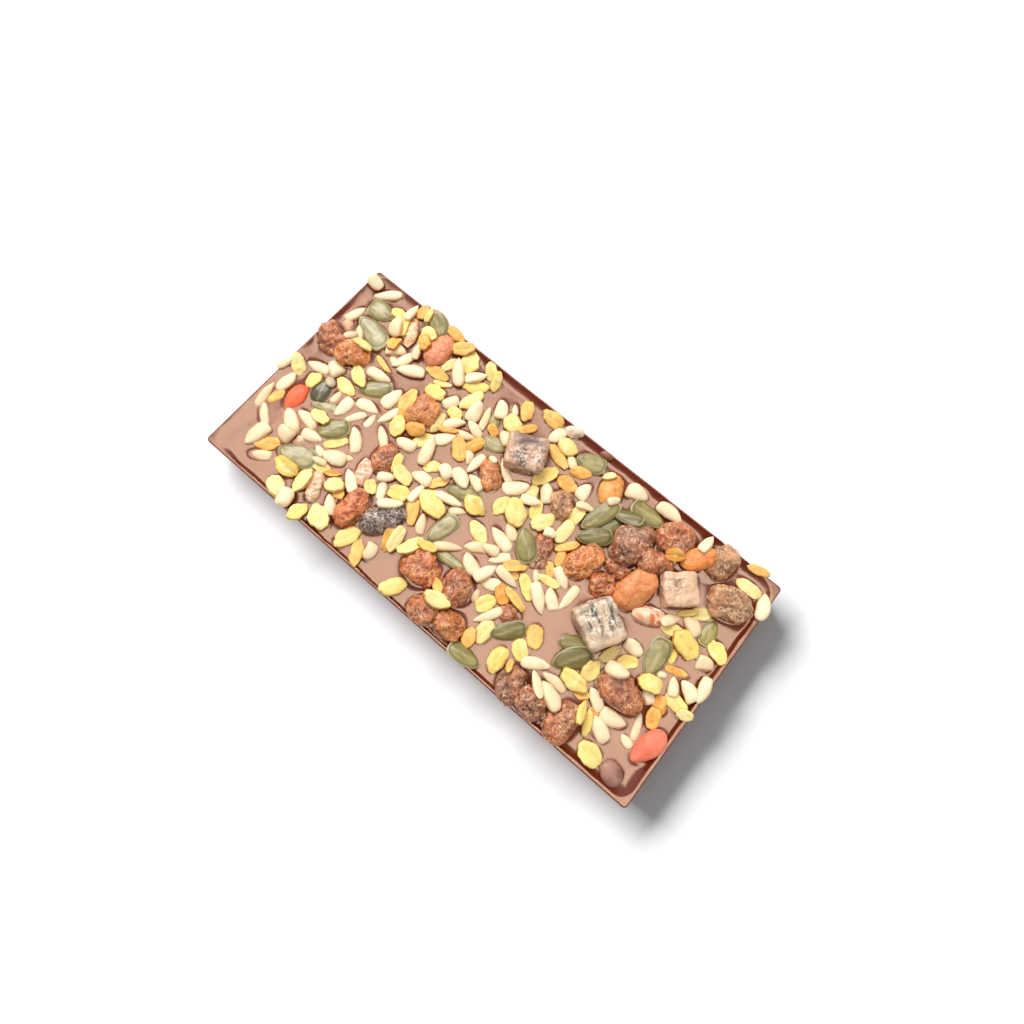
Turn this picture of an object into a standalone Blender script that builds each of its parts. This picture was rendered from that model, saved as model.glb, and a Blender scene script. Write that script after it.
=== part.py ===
"""A milk chocolate tablet strewn with muesli: seeds, oat flakes and dried fruit.

The bar was poured into a tray mould and decorated on its open side, so the walls lean out
towards the top, where the chocolate crept up the mould and left a thin raised rim round a
shallow dish. The seeds and flakes are set into the chocolate and are one solid with it.
The raisins, goji berries and pieces of fruit are solids of their own, in pockets.
X runs along the bar, Y across it, and Z up. The origin is the middle of the underside.
"""

import math

import bmesh
import bpy
import numpy as np
from mathutils import Matrix, Vector

MM = 0.001

LENGTH = 160.0 * MM
WIDTH = 76.6 * MM
THICKNESS = 8.0 * MM
DISH_DEPTH = 2.0 * MM
WALL_LEAN = 2.2 * MM
RIM_WIDTH = 1.3 * MM
RIM_SLOPE = 1.3 * MM
BASE_ROUND = 0.7 * MM
CORNER_RADIUS = 1.8 * MM
DISH_CORNER_RADIUS = 7.0 * MM
CORNER_STEPS = 4
FLOOR = THICKNESS - DISH_DEPTH
GAP = 0.3 * MM
KEPT_FACES = 0.6
SHARP_ANGLE = math.radians(40)

# The places below were measured from over this point, on the plane of the rim. A piece that
# lies higher is really a little nearer to the point than it looks from there.
EYE = np.array([25.5, -37.4, 204.8]) * MM

CELL = 0.5 * MM
STEEPEST = 0.4
REST_SHARE = 0.86
ROOT_SPREAD = 0.35
ROOT_DEPTH = 0.5 * MM

# A topping's row is x, y, turn, length, width in millimetres and degrees, and its layer:
# 0 lies on the chocolate, 1 on what is below it, 2 on top. A seed's tip points to its turn.
SUNFLOWER = [
    (-78.0, 34.4, -5, 6.8, 5.0, 1), (-71.8, 33.5, 220, 9.7, 3.4, 0), (-61.8, 34.2, 95, 7.0, 2.9, 1),
    (-62.3, 27.2, 118, 7.0, 4.6, 2), (-75.0, 22.0, 72, 7.6, 3.3, 0), (-52.5, 19.6, 250, 8.0, 3.3, 1),
    (-51.6, 25.0, 110, 5.0, 2.7, 1), (-48.4, 18.6, 210, 9.3, 4.0, 1), (-55.4, 18.3, 145, 4.2, 2.3, 0),
    (-56.7, 21.0, 30, 6.8, 4.2, 0), (-69.4, 17.4, 130, 6.0, 3.0, 0), (-55.0, 11.0, 8, 9.3, 4.0, 0),
    (-46.4, 8.0, 82, 8.0, 4.3, 0), (-43.3, 3.0, 250, 8.5, 2.7, 1), (-50.2, 1.0, 10, 8.0, 3.8, 0),
    (-66.9, 4.0, 160, 5.6, 4.8, 1), (-71.0, 0.8, 195, 8.0, 3.6, 0), (-59.9, -3.0, 85, 5.0, 2.7, 0),
    (-55.7, -4.0, 268, 7.6, 4.1, 0), (-51.0, -4.2, 240, 8.0, 2.6, 1), (-46.5, -2.0, 92, 5.3, 2.6, 0),
    (-45.9, -9.3, 135, 8.8, 3.9, 0), (-40.2, -3.2, 142, 8.0, 2.9, 0), (-75.1, -9.0, 85, 8.5, 3.9, 1),
    (-77.2, -16.5, 97, 9.5, 2.9, 0), (-80.2, -5.2, 60, 5.0, 3.0, 0), (-61.9, -14.0, 175, 8.6, 3.6, 0),
    (-65.0, -17.5, 145, 8.5, 4.7, 1), (-63.6, -21.4, 175, 5.8, 4.5, 1), (-56.6, -17.1, 15, 7.4, 3.6, 0),
    (-72.7, -21.3, 138, 8.0, 3.1, 0), (-69.8, -27.4, 262, 9.0, 5.0, 1), (-64.3, -31.3, 210, 7.2, 3.4, 0),
    (-47.0, -17.7, 200, 8.2, 4.6, 1), (-51.6, -18.9, 160, 4.2, 2.6, 0), (-49.6, -21.3, 195, 5.0, 2.3, 0),
    (-49.8, -35.9, 120, 6.4, 5.0, 1), (-58.8, -20.4, 60, 3.2, 2.6, 0), (-43.3, -15.0, 30, 3.4, 2.0, 0),
    (-36.8, 28.3, 130, 9.3, 4.1, 1), (-31.4, 30.6, 50, 7.5, 3.6, 0), (-31.8, 19.0, 60, 5.6, 4.0, 0),
    (-24.1, 21.6, 98, 7.6, 4.6, 1), (-20.2, 21.9, 107, 8.6, 2.5, 1), (-20.6, 17.2, 165, 7.0, 3.1, 1),
    (-18.4, 27.5, 122, 6.6, 4.0, 0), (-14.9, 30.0, 125, 4.2, 2.2, 0), (-11.3, 21.2, 145, 6.0, 4.0, 1),
    (-21.4, 13.6, 22, 7.0, 2.8, 0), (-26.4, 14.3, 50, 7.6, 3.2, 1), (-27.0, 2.7, 107, 10.4, 4.2, 1),
    (-25.2, 8.7, 55, 7.6, 3.8, 0), (-12.9, 8.9, 265, 7.8, 3.1, 1), (-15.7, 8.9, 300, 4.4, 2.6, 0),
    (-13.4, 2.5, -20, 7.6, 4.3, 1), (-9.2, 4.4, 165, 6.3, 3.1, 0), (-33.3, -0.3, 192, 7.0, 4.1, 0),
    (-18.4, 1.1, 160, 5.2, 4.1, 1), (-22.6, -5.2, 190, 7.0, 3.9, 1), (-11.8, -4.8, 15, 9.0, 3.0, 1),
    (-7.4, -5.9, 32, 5.6, 2.5, 0), (-20.5, -9.6, 88, 7.2, 2.9, 1), (-30.9, -11.8, 35, 5.6, 3.1, 1),
    (-29.0, -15.6, 120, 6.8, 3.2, 0), (-31.9, 8.9, 115, 4.6, 2.3, 0), (-9.8, 13.3, 170, 3.2, 2.1, 1),
    (-4.6, 13.1, 145, 8.6, 2.6, 1), (1.3, 11.0, 45, 8.6, 4.5, 0), (-38.0, -19.7, 145, 8.2, 3.6, 0),
    (-24.2, -17.2, 40, 8.0, 3.3, 2), (-37.7, -29.0, 133, 7.0, 3.4, 0), (-19.0, -31.6, 282, 5.6, 3.9, 0),
    (-13.1, -15.8, 120, 6.8, 3.0, 0), (-2.6, -15.8, 35, 9.2, 2.9, 1), (0.3, 32.0, 255, 6.2, 4.0, 0),
    (8.9, 28.6, 140, 5.2, 2.7, 0), (17.7, 23.5, 88, 6.0, 4.0, 0), (30.4, 33.7, 12, 7.2, 4.7, 0),
    (41.6, 35.2, 0, 8.9, 4.2, 1), (26.4, 27.2, 55, 4.6, 2.6, 2), (9.2, 15.9, 130, 6.8, 3.9, 1),
    (21.0, 20.1, 20, 6.2, 2.5, 1), (7.1, 10.9, 20, 6.6, 3.2, 1), (17.9, 7.0, 15, 4.2, 3.1, 1),
    (8.7, -0.2, 148, 6.2, 3.3, 0), (7.8, -4.0, 165, 9.0, 4.0, 0), (28.7, -1.3, -28, 7.2, 3.7, 0),
    (33.9, -4.6, 268, 9.3, 3.0, 0), (7.4, -8.2, 195, 5.6, 3.3, 1), (3.6, -10.7, 215, 7.2, 3.5, 0),
    (11.2, -8.7, 230, 7.0, 3.0, 0), (16.4, -11.4, -6, 8.4, 3.0, 1), (27.2, -10.2, -40, 9.8, 3.9, 1),
    (30.2, -7.9, 140, 6.8, 3.8, 0), (22.4, -5.5, 135, 4.2, 2.0, 0), (5.7, -15.4, 155, 7.2, 4.3, 0),
    (10.7, -14.5, 68, 7.6, 3.8, 1), (13.7, -16.0, 200, 6.6, 3.8, 0), (19.2, -23.3, 240, 9.6, 2.9, 1),
    (12.8, -21.2, 105, 4.2, 2.3, 0), (38.2, -24.8, 30, 8.9, 3.6, 1), (55.5, 34.8, 82, 7.4, 3.1, 1),
    (79.0, 30.4, 107, 8.6, 3.9, 1), (66.1, 12.4, 155, 6.6, 4.4, 1), (60.4, 9.8, 55, 7.2, 3.2, 1),
    (74.9, 6.3, 25, 5.4, 4.1, 0), (78.9, 0.0, 280, 8.4, 3.5, 1), (76.0, -2.6, 150, 6.6, 4.1, 1),
    (71.7, -4.6, 115, 6.0, 3.1, 0), (56.8, -3.4, 0, 6.0, 4.1, 0), (57.0, -11.4, 12, 7.2, 4.5, 2),
    (67.3, -4.2, 20, 3.2, 2.2, 0), (67.4, -10.9, 140, 5.8, 3.5, 0), (45.2, -25.2, 180, 8.4, 3.1, 0),
    (46.6, -28.8, 155, 9.0, 4.5, 2), (41.8, -28.9, 140, 8.4, 2.9, 1), (57.0, -21.3, 150, 7.2, 3.6, 1),
    (63.9, -22.4, 12, 8.0, 4.3, 0), (62.3, -26.9, 158, 8.2, 4.6, 0), (70.1, -19.7, 110, 8.0, 2.6, 0),
    (70.1, -24.6, 165, 4.4, 2.6, 0),
]

OATS = [
    (-57.0, 37.2, 100, 5.0, 2.4, 1), (-52.4, 32.0, 10, 6.2, 4.6, 0), (-64.4, 31.0, 10, 6.0, 3.6, 0),
    (-60.3, 29.0, 115, 7.6, 3.1, 1), (-65.9, 15.3, 12, 6.6, 2.9, 2), (-76.8, -2.8, 145, 7.6, 4.7, 0),
    (-69.2, -3.5, 85, 6.0, 4.5, 0), (-59.8, 6.9, 145, 7.7, 4.3, 0), (-60.0, 1.4, 175, 7.7, 4.4, 0),
    (-59.0, -10.9, 0, 6.8, 3.9, 1), (-49.4, -13.8, 53, 8.0, 3.1, 1), (-39.0, 2.4, 110, 6.9, 4.9, 1),
    (-55.6, -28.9, 4, 8.5, 5.1, 1), (-53.9, -35.2, 150, 7.4, 5.3, 0), (-48.9, -28.8, 95, 8.6, 4.6, 0),
    (-43.4, -36.9, 85, 7.0, 4.4, 0), (-47.4, -22.3, 25, 6.2, 3.1, 0), (-40.9, -23.8, 20, 6.2, 5.0, 1),
    (-37.4, -34.0, 140, 8.2, 6.1, 0), (-35.9, 32.8, 100, 7.7, 6.1, 0), (-28.8, 35.1, 140, 6.4, 4.1, 0),
    (-25.6, 33.6, 112, 6.6, 3.4, 0), (-29.2, 27.9, 36, 8.2, 4.2, 0), (-27.3, 23.6, 75, 8.4, 4.2, 1),
    (-28.2, 16.9, 170, 5.2, 4.4, 1), (-37.9, 21.9, 25, 6.2, 2.2, 0), (-37.7, 18.1, 15, 6.6, 5.6, 0),
    (-12.7, 26.0, 170, 6.2, 5.6, 1), (-30.3, 11.2, 100, 7.2, 3.4, 1), (-30.3, 3.6, 70, 7.2, 3.6, 0),
    (-22.4, -0.6, 45, 5.8, 3.6, 0), (-4.8, -1.2, 178, 7.6, 5.2, 1), (-27.2, -8.3, 175, 7.6, 4.6, 1),
    (-31.2, -6.6, 110, 6.6, 3.2, 0), (-24.5, -13.2, 10, 6.6, 5.6, 1), (-14.6, -9.1, 160, 9.8, 6.6, 1),
    (1.4, -6.6, 162, 7.8, 4.4, 0), (1.4, 3.9, 88, 6.8, 4.3, 0), (-32.2, -17.4, 135, 4.8, 4.1, 0),
    (-15.8, -23.9, 100, 8.9, 4.2, 1), (-10.7, -22.9, 65, 8.6, 4.2, 0), (-7.4, -19.7, 15, 6.2, 3.2, 1),
    (-7.0, -34.8, 57, 8.6, 5.0, 0), (-27.0, -32.8, 68, 8.7, 5.1, 0), (5.0, 31.4, 8, 6.8, 5.2, 1),
    (5.6, 19.4, 68, 9.4, 4.7, 1), (20.4, 16.4, 95, 8.2, 4.2, 0), (20.9, 10.2, 95, 8.2, 4.4, 1),
    (5.9, 12.9, 100, 5.4, 3.8, 0), (20.8, 32.4, 40, 4.4, 2.4, 0), (6.0, 5.2, 138, 9.3, 6.3, 1),
    (10.3, 9.6, 115, 7.0, 3.8, 0), (14.1, 8.1, 58, 8.0, 4.7, 1), (26.6, -4.4, 8, 7.2, 2.8, 1),
    (22.4, -9.9, 145, 8.8, 3.7, 1), (16.5, -21.2, 72, 7.0, 4.7, 0), (21.3, -27.4, 95, 7.8, 4.8, 0),
    (29.1, -30.7, 105, 8.1, 5.4, 0), (32.3, -24.7, 150, 6.8, 4.8, 0), (4.9, -29.5, 18, 8.4, 4.9, 2),
    (72.7, 31.9, 0, 8.6, 4.4, 0), (66.1, 16.7, 40, 5.4, 4.3, 0), (67.6, 7.0, 170, 9.4, 6.6, 1),
    (75.9, 11.1, 155, 7.6, 4.9, 0), (66.6, 1.8, 105, 4.4, 2.6, 0), (66.4, -8.1, 10, 7.4, 5.2, 1),
    (74.8, -7.7, 175, 7.6, 4.8, 0), (57.8, -7.6, 35, 6.2, 4.1, 1), (52.5, -9.3, 72, 7.4, 3.2, 0),
    (64.3, -33.7, 0, 8.0, 6.2, 0), (51.1, -16.3, 92, 7.2, 5.0, 1), (49.2, -21.4, 2, 8.7, 5.0, 1),
    (56.1, -26.8, 110, 7.2, 2.9, 0), (59.1, -27.8, 118, 7.8, 2.8, 1), (-40.5, 28.2, 80, 6.2, 3.1, 0),
    (78.6, -8.6, 200, 5.0, 3.4, 1), (62.4, 7.8, 15, 7.2, 4.1, 0), (63.0, 14.4, 45, 6.2, 2.2, 2),
]

TOASTED_OATS = [
    (-59.1, 36.9, 82, 5.8, 3.5, 0), (-45.9, 37.6, 0, 6.8, 3.9, 0), (-41.0, 35.5, 48, 7.2, 4.6, 0),
    (-51.8, 29.0, 160, 6.4, 4.5, 1), (-58.6, 22.3, 110, 5.8, 4.1, 1), (-56.5, 14.7, 164, 7.6, 2.1, 0),
    (-41.6, 23.5, 8, 8.2, 3.9, 0), (-74.2, -14.8, 70, 6.2, 4.1, 0), (-42.2, 10.5, 100, 9.0, 4.5, 0),
    (-40.0, 6.2, 150, 4.6, 3.1, 0), (-65.0, -27.4, 42, 7.7, 4.7, 1), (-43.7, -21.4, 35, 5.2, 2.1, 1),
    (-11.9, 32.3, 122, 7.2, 4.4, 1), (-8.0, 27.8, 55, 7.2, 2.8, 1), (-3.9, 35.7, 0, 8.0, 4.9, 0),
    (-15.8, 20.5, 150, 4.6, 3.2, 2), (-16.9, 13.4, 75, 6.4, 4.1, 1), (-34.9, 5.6, 25, 6.4, 4.6, 1),
    (-19.5, 9.0, 128, 8.1, 5.1, 0), (-26.6, 11.4, 32, 6.6, 2.0, 2), (-17.7, -3.1, 56, 7.2, 3.1, 1),
    (-17.7, -14.5, 118, 9.6, 4.1, 1), (-21.8, -34.3, 124, 8.6, 3.9, 0), (-38.3, -24.6, 145, 5.2, 3.7, 0),
    (-17.7, -25.4, 112, 8.2, 3.2, 0), (5.0, 26.9, 158, 9.6, 3.8, 0), (13.1, 27.5, 25, 6.8, 3.8, 0),
    (12.2, 21.9, 5, 6.8, 4.6, 0), (24.4, 7.1, 55, 7.9, 2.8, 1), (24.7, 3.1, 110, 5.6, 3.1, 0),
    (24.5, -1.5, 142, 5.4, 2.8, 0), (16.1, -7.5, 42, 8.1, 3.6, 1), (16.2, -9.8, 10, 6.2, 3.2, 0),
    (18.4, -16.2, 140, 6.4, 4.2, 1), (22.1, -14.8, 167, 9.2, 3.0, 2), (19.1, -31.4, 120, 6.0, 4.2, 1),
    (33.1, -19.1, 125, 7.2, 5.1, 0), (2.6, -26.1, 150, 4.8, 3.2, 1), (32.9, -29.9, 120, 4.2, 2.2, 0),
    (50.3, 26.2, 28, 6.2, 4.3, 2), (72.0, 38.3, 15, 7.2, 3.0, 1), (69.8, -0.8, 18, 7.4, 2.5, 0),
    (71.6, -11.0, 120, 6.0, 4.2, 0), (72.2, -14.9, 108, 6.6, 4.1, 1), (53.0, -22.9, 20, 4.8, 3.2, 0),
    (58.4, -24.3, 10, 3.4, 2.3, 0),
]

PUMPKIN = [
    (-69.3, 28.0, 5, 9.2, 6.3, 0), (-66.5, 20.7, 165, 13.2, 7.0, 0), (-52.9, 37.0, 152, 9.8, 6.1, 0),
    (-64.6, -4.4, 100, 8.8, 5.6, 0), (-52.6, 6.9, 222, 11.2, 5.6, 0), (-59.9, -7.9, 202, 8.6, 3.9, 0),
    (-53.3, -11.4, 232, 10.8, 6.0, 0), (-70.6, -19.0, 125, 8.8, 4.5, 0), (-55.6, -24.4, 200, 12.8, 6.8, 0),
    (-17.6, 23.5, 120, 5.4, 3.4, 0), (-12.2, 17.4, 20, 7.2, 4.8, 0), (-9.8, -0.7, 202, 11.2, 4.6, 0),
    (-7.4, -13.0, 258, 11.6, 5.3, 0), (0.6, -18.3, 5, 11.4, 3.4, 1), (13.8, 32.0, 200, 9.4, 6.1, 0),
    (36.8, 30.1, 0, 11.2, 6.4, 1), (32.6, 25.6, 195, 9.8, 4.6, 0), (26.0, 21.0, 252, 13.6, 5.3, 1),
    (30.2, 19.5, 245, 8.2, 4.3, 0), (28.6, 14.6, 220, 10.8, 5.2, 1), (14.5, -0.5, 137, 11.2, 6.1, 1),
    (26.4, -22.9, 230, 10.9, 5.1, 1), (21.2, -36.2, 3, 10.4, 5.2, 1), (71.0, 13.9, 97, 8.2, 4.6, 1),
    (63.2, -1.4, 278, 12.6, 6.3, 0), (43.0, -13.8, 205, 9.2, 5.6, 0), (45.3, -17.0, 230, 11.8, 6.4, 1),
]

FRUIT_CRUMBS = [
    (-73.9, 17.3, 140, 5.0, 3.6, 0), (-71.2, 15.6, 60, 4.8, 2.7, 1), (3.6, 36.6, 25, 6.2, 3.8, 0),
    (16.0, 37.2, 10, 4.4, 2.2, 0), (-64.8, -0.5, 150, 3.8, 3.0, 2), (71.9, -33.8, 165, 7.0, 6.0, 0),
]

RAISINS = [
    (-74.7, 10.8, -15, 11.7, 9.3, 0), (-65.9, 11.0, 25, 10.6, 8.6, 0), (-36.4, 11.2, 80, 10.8, 9.5, 1),
    (-35.1, -8.2, 95, 10.4, 7.1, 0), (-7.2, 8.8, 130, 10.2, 6.7, 0), (-32.0, -25.6, 93, 13.0, 8.9, 0),
    (-23.0, -21.9, 58, 14.0, 8.6, 0), (-4.7, -25.6, 165, 11.9, 10.8, 0), (7.4, -22.9, 125, 10.8, 9.7, 0),
    (4.0, -34.2, 170, 9.7, 9.1, 0), (12.4, -32.4, 20, 9.5, 8.9, 0), (24.0, -18.9, 0, 6.7, 5.4, 0),
    (36.8, -33.6, 120, 11.2, 9.3, 0), (44.0, -34.2, 170, 9.3, 8.0, 0), (53.4, -32.1, 82, 13.0, 9.1, 0),
    (61.0, -15.4, 0, 15.1, 9.7, 0), (14.9, 15.9, 135, 9.3, 7.1, 0), (38.4, 20.4, 80, 14.5, 11.7, 0),
    (47.0, 19.9, 30, 11.2, 8.0, 0), (39.3, 11.3, 5, 8.2, 4.8, 0), (38.6, 4.9, 40, 8.4, 7.6, 0),
    (30.5, 7.0, 72, 13.6, 8.9, 0), (47.7, 29.7, 15, 11.7, 10.6, 0), (62.3, 33.0, 85, 11.4, 8.6, 0),
    (70.9, 24.5, 15, 13.4, 11.0, 0), (18.6, 2.8, 120, 8.2, 5.2, 0), (20.4, -2.2, 80, 5.2, 4.3, 0),
]

APRICOT_PIECES = [
    (-46.0, 30.2, 85, 12.6, 8.6, 0), (23.8, 29.2, 105, 11.0, 7.6, 0),
    (56.3, 29.5, 55, 11.0, 6.8, 0), (47.0, 10.2, 78, 14.9, 9.7, 0),
]

GOJI_BERRIES = [(-69.1, -11.2, 272, 10.0, 6.3, 0), (75.6, -21.8, 256, 12.2, 6.8, 0)]

FRUIT_SHREDS = [
    (-57.3, 28.8, 118, 11.0, 4.8, 1), (-44.9, -27.9, 115, 9.8, 5.4, 0),
    (-36.9, -15.1, 115, 9.0, 5.2, 0), (54.8, 6.8, 26, 10.4, 5.8, 0),
]

CANDIED_CUBES = [
    (57.0, 18.3, 40, 10.4, 10.0, 0), (45.0, -4.4, -28, 13.0, 12.0, 0), (-3.2, 21.3, 25, 12.4, 11.0, 0),
]
CUBE_HEIGHTS = (7.5 * MM, 8.5 * MM, 8.0 * MM)
CUBE_LEANS = (0.0, 9.0, -4.0)

CHOCOLATE_BROWN = (0.23, 0.105, 0.058)
RAISIN_BROWN = (0.19, 0.06, 0.028)
APRICOT_ORANGE = (0.75, 0.26, 0.06)
GOJI_RED = (0.72, 0.06, 0.025)
SHRED_PINK = (0.74, 0.45, 0.32)
CUBE_BEIGE = (0.62, 0.45, 0.34)


def material(name, colour, roughness):
    """A plain Principled material of one colour."""
    made = bpy.data.materials.new(name)
    made.use_nodes = True
    shader = made.node_tree.nodes["Principled BSDF"]
    shader.inputs["Base Color"].default_value = (*colour, 1.0)
    shader.inputs["Roughness"].default_value = roughness
    shader.inputs["Metallic"].default_value = 0.0
    return made


def object_of(name, points, faces, collection):
    """Make a mesh object from points and faces, turned outwards, and put it in a collection."""
    mesh = bpy.data.meshes.new(name)
    mesh.from_pydata([tuple(point) for point in points], [], faces)
    made = bpy.data.objects.new(name, mesh)
    collection.objects.link(made)
    shape = bmesh.new()
    shape.from_mesh(mesh)
    bmesh.ops.recalc_face_normals(shape, faces=shape.faces)
    shape.to_mesh(mesh)
    shape.free()
    return made


def hull_object(name, points, collection):
    """Make the convex solid round some points."""
    shape = bmesh.new()
    for point in points:
        shape.verts.new(point)
    result = bmesh.ops.convex_hull(shape, input=shape.verts)
    unused = [item for item in result["geom_interior"] if isinstance(item, bmesh.types.BMVert)]
    bmesh.ops.delete(shape, geom=unused, context="VERTS")
    bmesh.ops.recalc_face_normals(shape, faces=shape.faces)
    mesh = bpy.data.meshes.new(name)
    shape.to_mesh(mesh)
    shape.free()
    made = bpy.data.objects.new(name, mesh)
    collection.objects.link(made)
    return made


def rounded_outline(inset, radius):
    """The bar's outline moved in by inset, with quarter circles at its corners."""
    half_x = LENGTH / 2 - inset
    half_y = WIDTH / 2 - inset
    points = []
    for corner, (side_x, side_y) in enumerate([(1, 1), (-1, 1), (-1, -1), (1, -1)]):
        for step in range(CORNER_STEPS + 1):
            angle = math.radians(90) * (corner + step / CORNER_STEPS)
            x = side_x * (half_x - radius) + radius * math.cos(angle)
            y = side_y * (half_y - radius) + radius * math.sin(angle)
            points.append((x, y))
    return points


def slab_rings():
    """Inset, height and corner radius of each ring, from the underside up over the rim."""
    shoulder = 0.35 * RIM_WIDTH
    return [
        (WALL_LEAN + BASE_ROUND, 0.0, CORNER_RADIUS - BASE_ROUND),
        (WALL_LEAN, BASE_ROUND, CORNER_RADIUS),
        (0.0, THICKNESS - 0.8 * MM, CORNER_RADIUS),
        (0.12 * MM, THICKNESS - 0.3 * MM, CORNER_RADIUS),
        (shoulder, THICKNESS, CORNER_RADIUS),
        (RIM_WIDTH, THICKNESS - 0.2 * MM, 0.7 * DISH_CORNER_RADIUS),
        (RIM_WIDTH + 0.6 * RIM_SLOPE, FLOOR + 0.45 * MM, 0.9 * DISH_CORNER_RADIUS),
        (RIM_WIDTH + 1.6 * RIM_SLOPE, FLOOR, DISH_CORNER_RADIUS),
    ]


def chocolate_slab(collection):
    """Join the rings with bands of faces, and close them with a flat underside and floor."""
    rings = slab_rings()
    points = []
    for inset, height, radius in rings:
        points += [(x, y, height) for x, y in rounded_outline(inset, radius)]
    count = len(points) // len(rings)
    faces = [list(range(count))[::-1], list(range(len(points) - count, len(points)))]
    for ring in range(len(rings) - 1):
        for step in range(count):
            after = (step + 1) % count
            low = ring * count
            high = low + count
            faces.append([low + step, low + after, high + after, high + step])
    return object_of("chocolate_slab", points, faces, collection)


class Heap:
    """The height of all that has been laid so far, on a grid over the bar."""

    def __init__(self):
        reach_x = LENGTH / 2 + 6 * MM
        reach_y = WIDTH / 2 + 6 * MM
        self.x, self.y = np.meshgrid(
            np.arange(-reach_x, reach_x, CELL), np.arange(-reach_y, reach_y, CELL), indexing="ij"
        )
        edge = np.minimum(LENGTH / 2 - np.abs(self.x), WIDTH / 2 - np.abs(self.y))
        slope = np.clip((edge - RIM_WIDTH) / RIM_SLOPE, 0, 1)
        self.height = THICKNESS - slope * DISH_DEPTH

    def lay(self, row, thickness, sink, dome):
        """Rest one piece on the heap. Return the matrix that puts it there, and its root.

        The ground under its oval is taken as a sloping plane, no steeper than STEEPEST. The
        piece lies on the plane, raised until REST_SHARE of the ground is below it, and less
        its sink. The root is how far below its middle the ground lies. Then its own domed
        top becomes part of the ground.
        """
        seen_x, seen_y, turn, length, width, _ = row
        length = length * MM
        width = width * MM
        place = np.array([seen_x, seen_y]) * MM
        along = np.array([math.cos(math.radians(turn)), math.sin(math.radians(turn))])
        across = np.array([-along[1], along[0]])
        level = FLOOR + thickness / 2
        for _ in range(2):
            spot = place + (EYE[:2] - place) * (level - THICKNESS) / EYE[2]
            u = (self.x - spot[0]) * along[0] + (self.y - spot[1]) * along[1]
            v = (self.x - spot[0]) * across[0] + (self.y - spot[1]) * across[1]
            radius = (2 * u / length) ** 2 + (2 * v / width) ** 2
            under = radius < 1
            ground = self.height[under]
            plane = np.stack([np.ones(len(ground)), u[under], v[under]], axis=1)
            fit = np.linalg.lstsq(plane, ground, rcond=None)[0]
            slopes = np.clip(fit[1:], -STEEPEST, STEEPEST)
            rest = ground - plane[:, 1:] @ slopes
            base = np.quantile(rest, REST_SHARE) - sink
            level = base + thickness / 2
            root = level - rest[radius[under] < ROOT_SPREAD**2].min()
        bulge = np.sqrt(np.clip(1 - radius, 0, 1))
        top = level + u * slopes[0] + v * slopes[1] + thickness / 2 * (1 - dome + dome * bulge)
        self.height = np.where(under, np.maximum(self.height, top), self.height)
        forward = Vector((along[0], along[1], slopes[0])).normalized()
        sideways = Vector((across[0], across[1], slopes[1]))
        upward = forward.cross(sideways).normalized()
        sideways = upward.cross(forward)
        turned = Matrix((forward, sideways, upward)).transposed().to_4x4()
        return Matrix.Translation((spot[0], spot[1], level)) @ turned, root


def lens_points(outline, length, width, thickness, ridge, root):
    """An outline at mid height, with a short ridge above it and one point below it.

    The point reaches down into whatever the piece lies on, so that the piece is joined to it.
    """
    points = [(x * length, y * width, 0.0) for x, y in outline]
    points += [(end * length, 0.0, thickness / 2) for end in ridge]
    points.append((0.0, 0.0, -max(root + ROOT_DEPTH, thickness / 2)))
    return points


KERNEL_OUTLINE = [
    (0.5, 0.0), (0.31, 0.32), (-0.04, 0.5), (-0.39, 0.4),
    (-0.5, 0.0), (-0.39, -0.4), (-0.04, -0.5), (0.31, -0.32),
]
FLAKE_OUTLINE = [
    (0.5, 0.0), (0.37, 0.4), (0.0, 0.52), (-0.37, 0.4),
    (-0.5, 0.0), (-0.37, -0.4), (0.0, -0.52), (0.37, -0.4),
]
PUMPKIN_OUTLINE = [
    (0.52, 0.0), (0.33, 0.32), (0.0, 0.53), (-0.34, 0.44), (-0.52, 0.15),
    (-0.52, -0.15), (-0.34, -0.44), (0.0, -0.53), (0.33, -0.32),
]

# Thickness as a share of the width, depth sunk, and how domed the top is.
KERNEL_FORM = (KERNEL_OUTLINE, (-0.22, 0.1), 0.62, 0.5 * MM, 0.8)
FLAKE_FORM = (FLAKE_OUTLINE, (-0.2, 0.2), 0.48, 0.45 * MM, 0.7)
PUMPKIN_FORM = (PUMPKIN_OUTLINE, (-0.2, 0.15), 0.4, 0.45 * MM, 0.5)
CRUMB_FORM = (FLAKE_OUTLINE, (-0.25, 0.25), 0.6, 0.8 * MM, 0.5)


def lay_small(heap, row, form, name, collection):
    """Lay one seed, flake or crumb and put its solid there."""
    outline, ridge, thickness_share, sink, dome = form
    length = row[3] * MM
    width = row[4] * MM
    thickness = max(thickness_share * width, 1.5 * MM)
    place, root = heap.lay(row, thickness, sink, dome)
    points = lens_points(outline, length, width, thickness, ridge, root)
    return hull_object(name, [place @ Vector(point) for point in points], collection)


LUMP_SIDES = 8
LUMP_RINGS = 4
BLUNTNESS = 1.12


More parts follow.
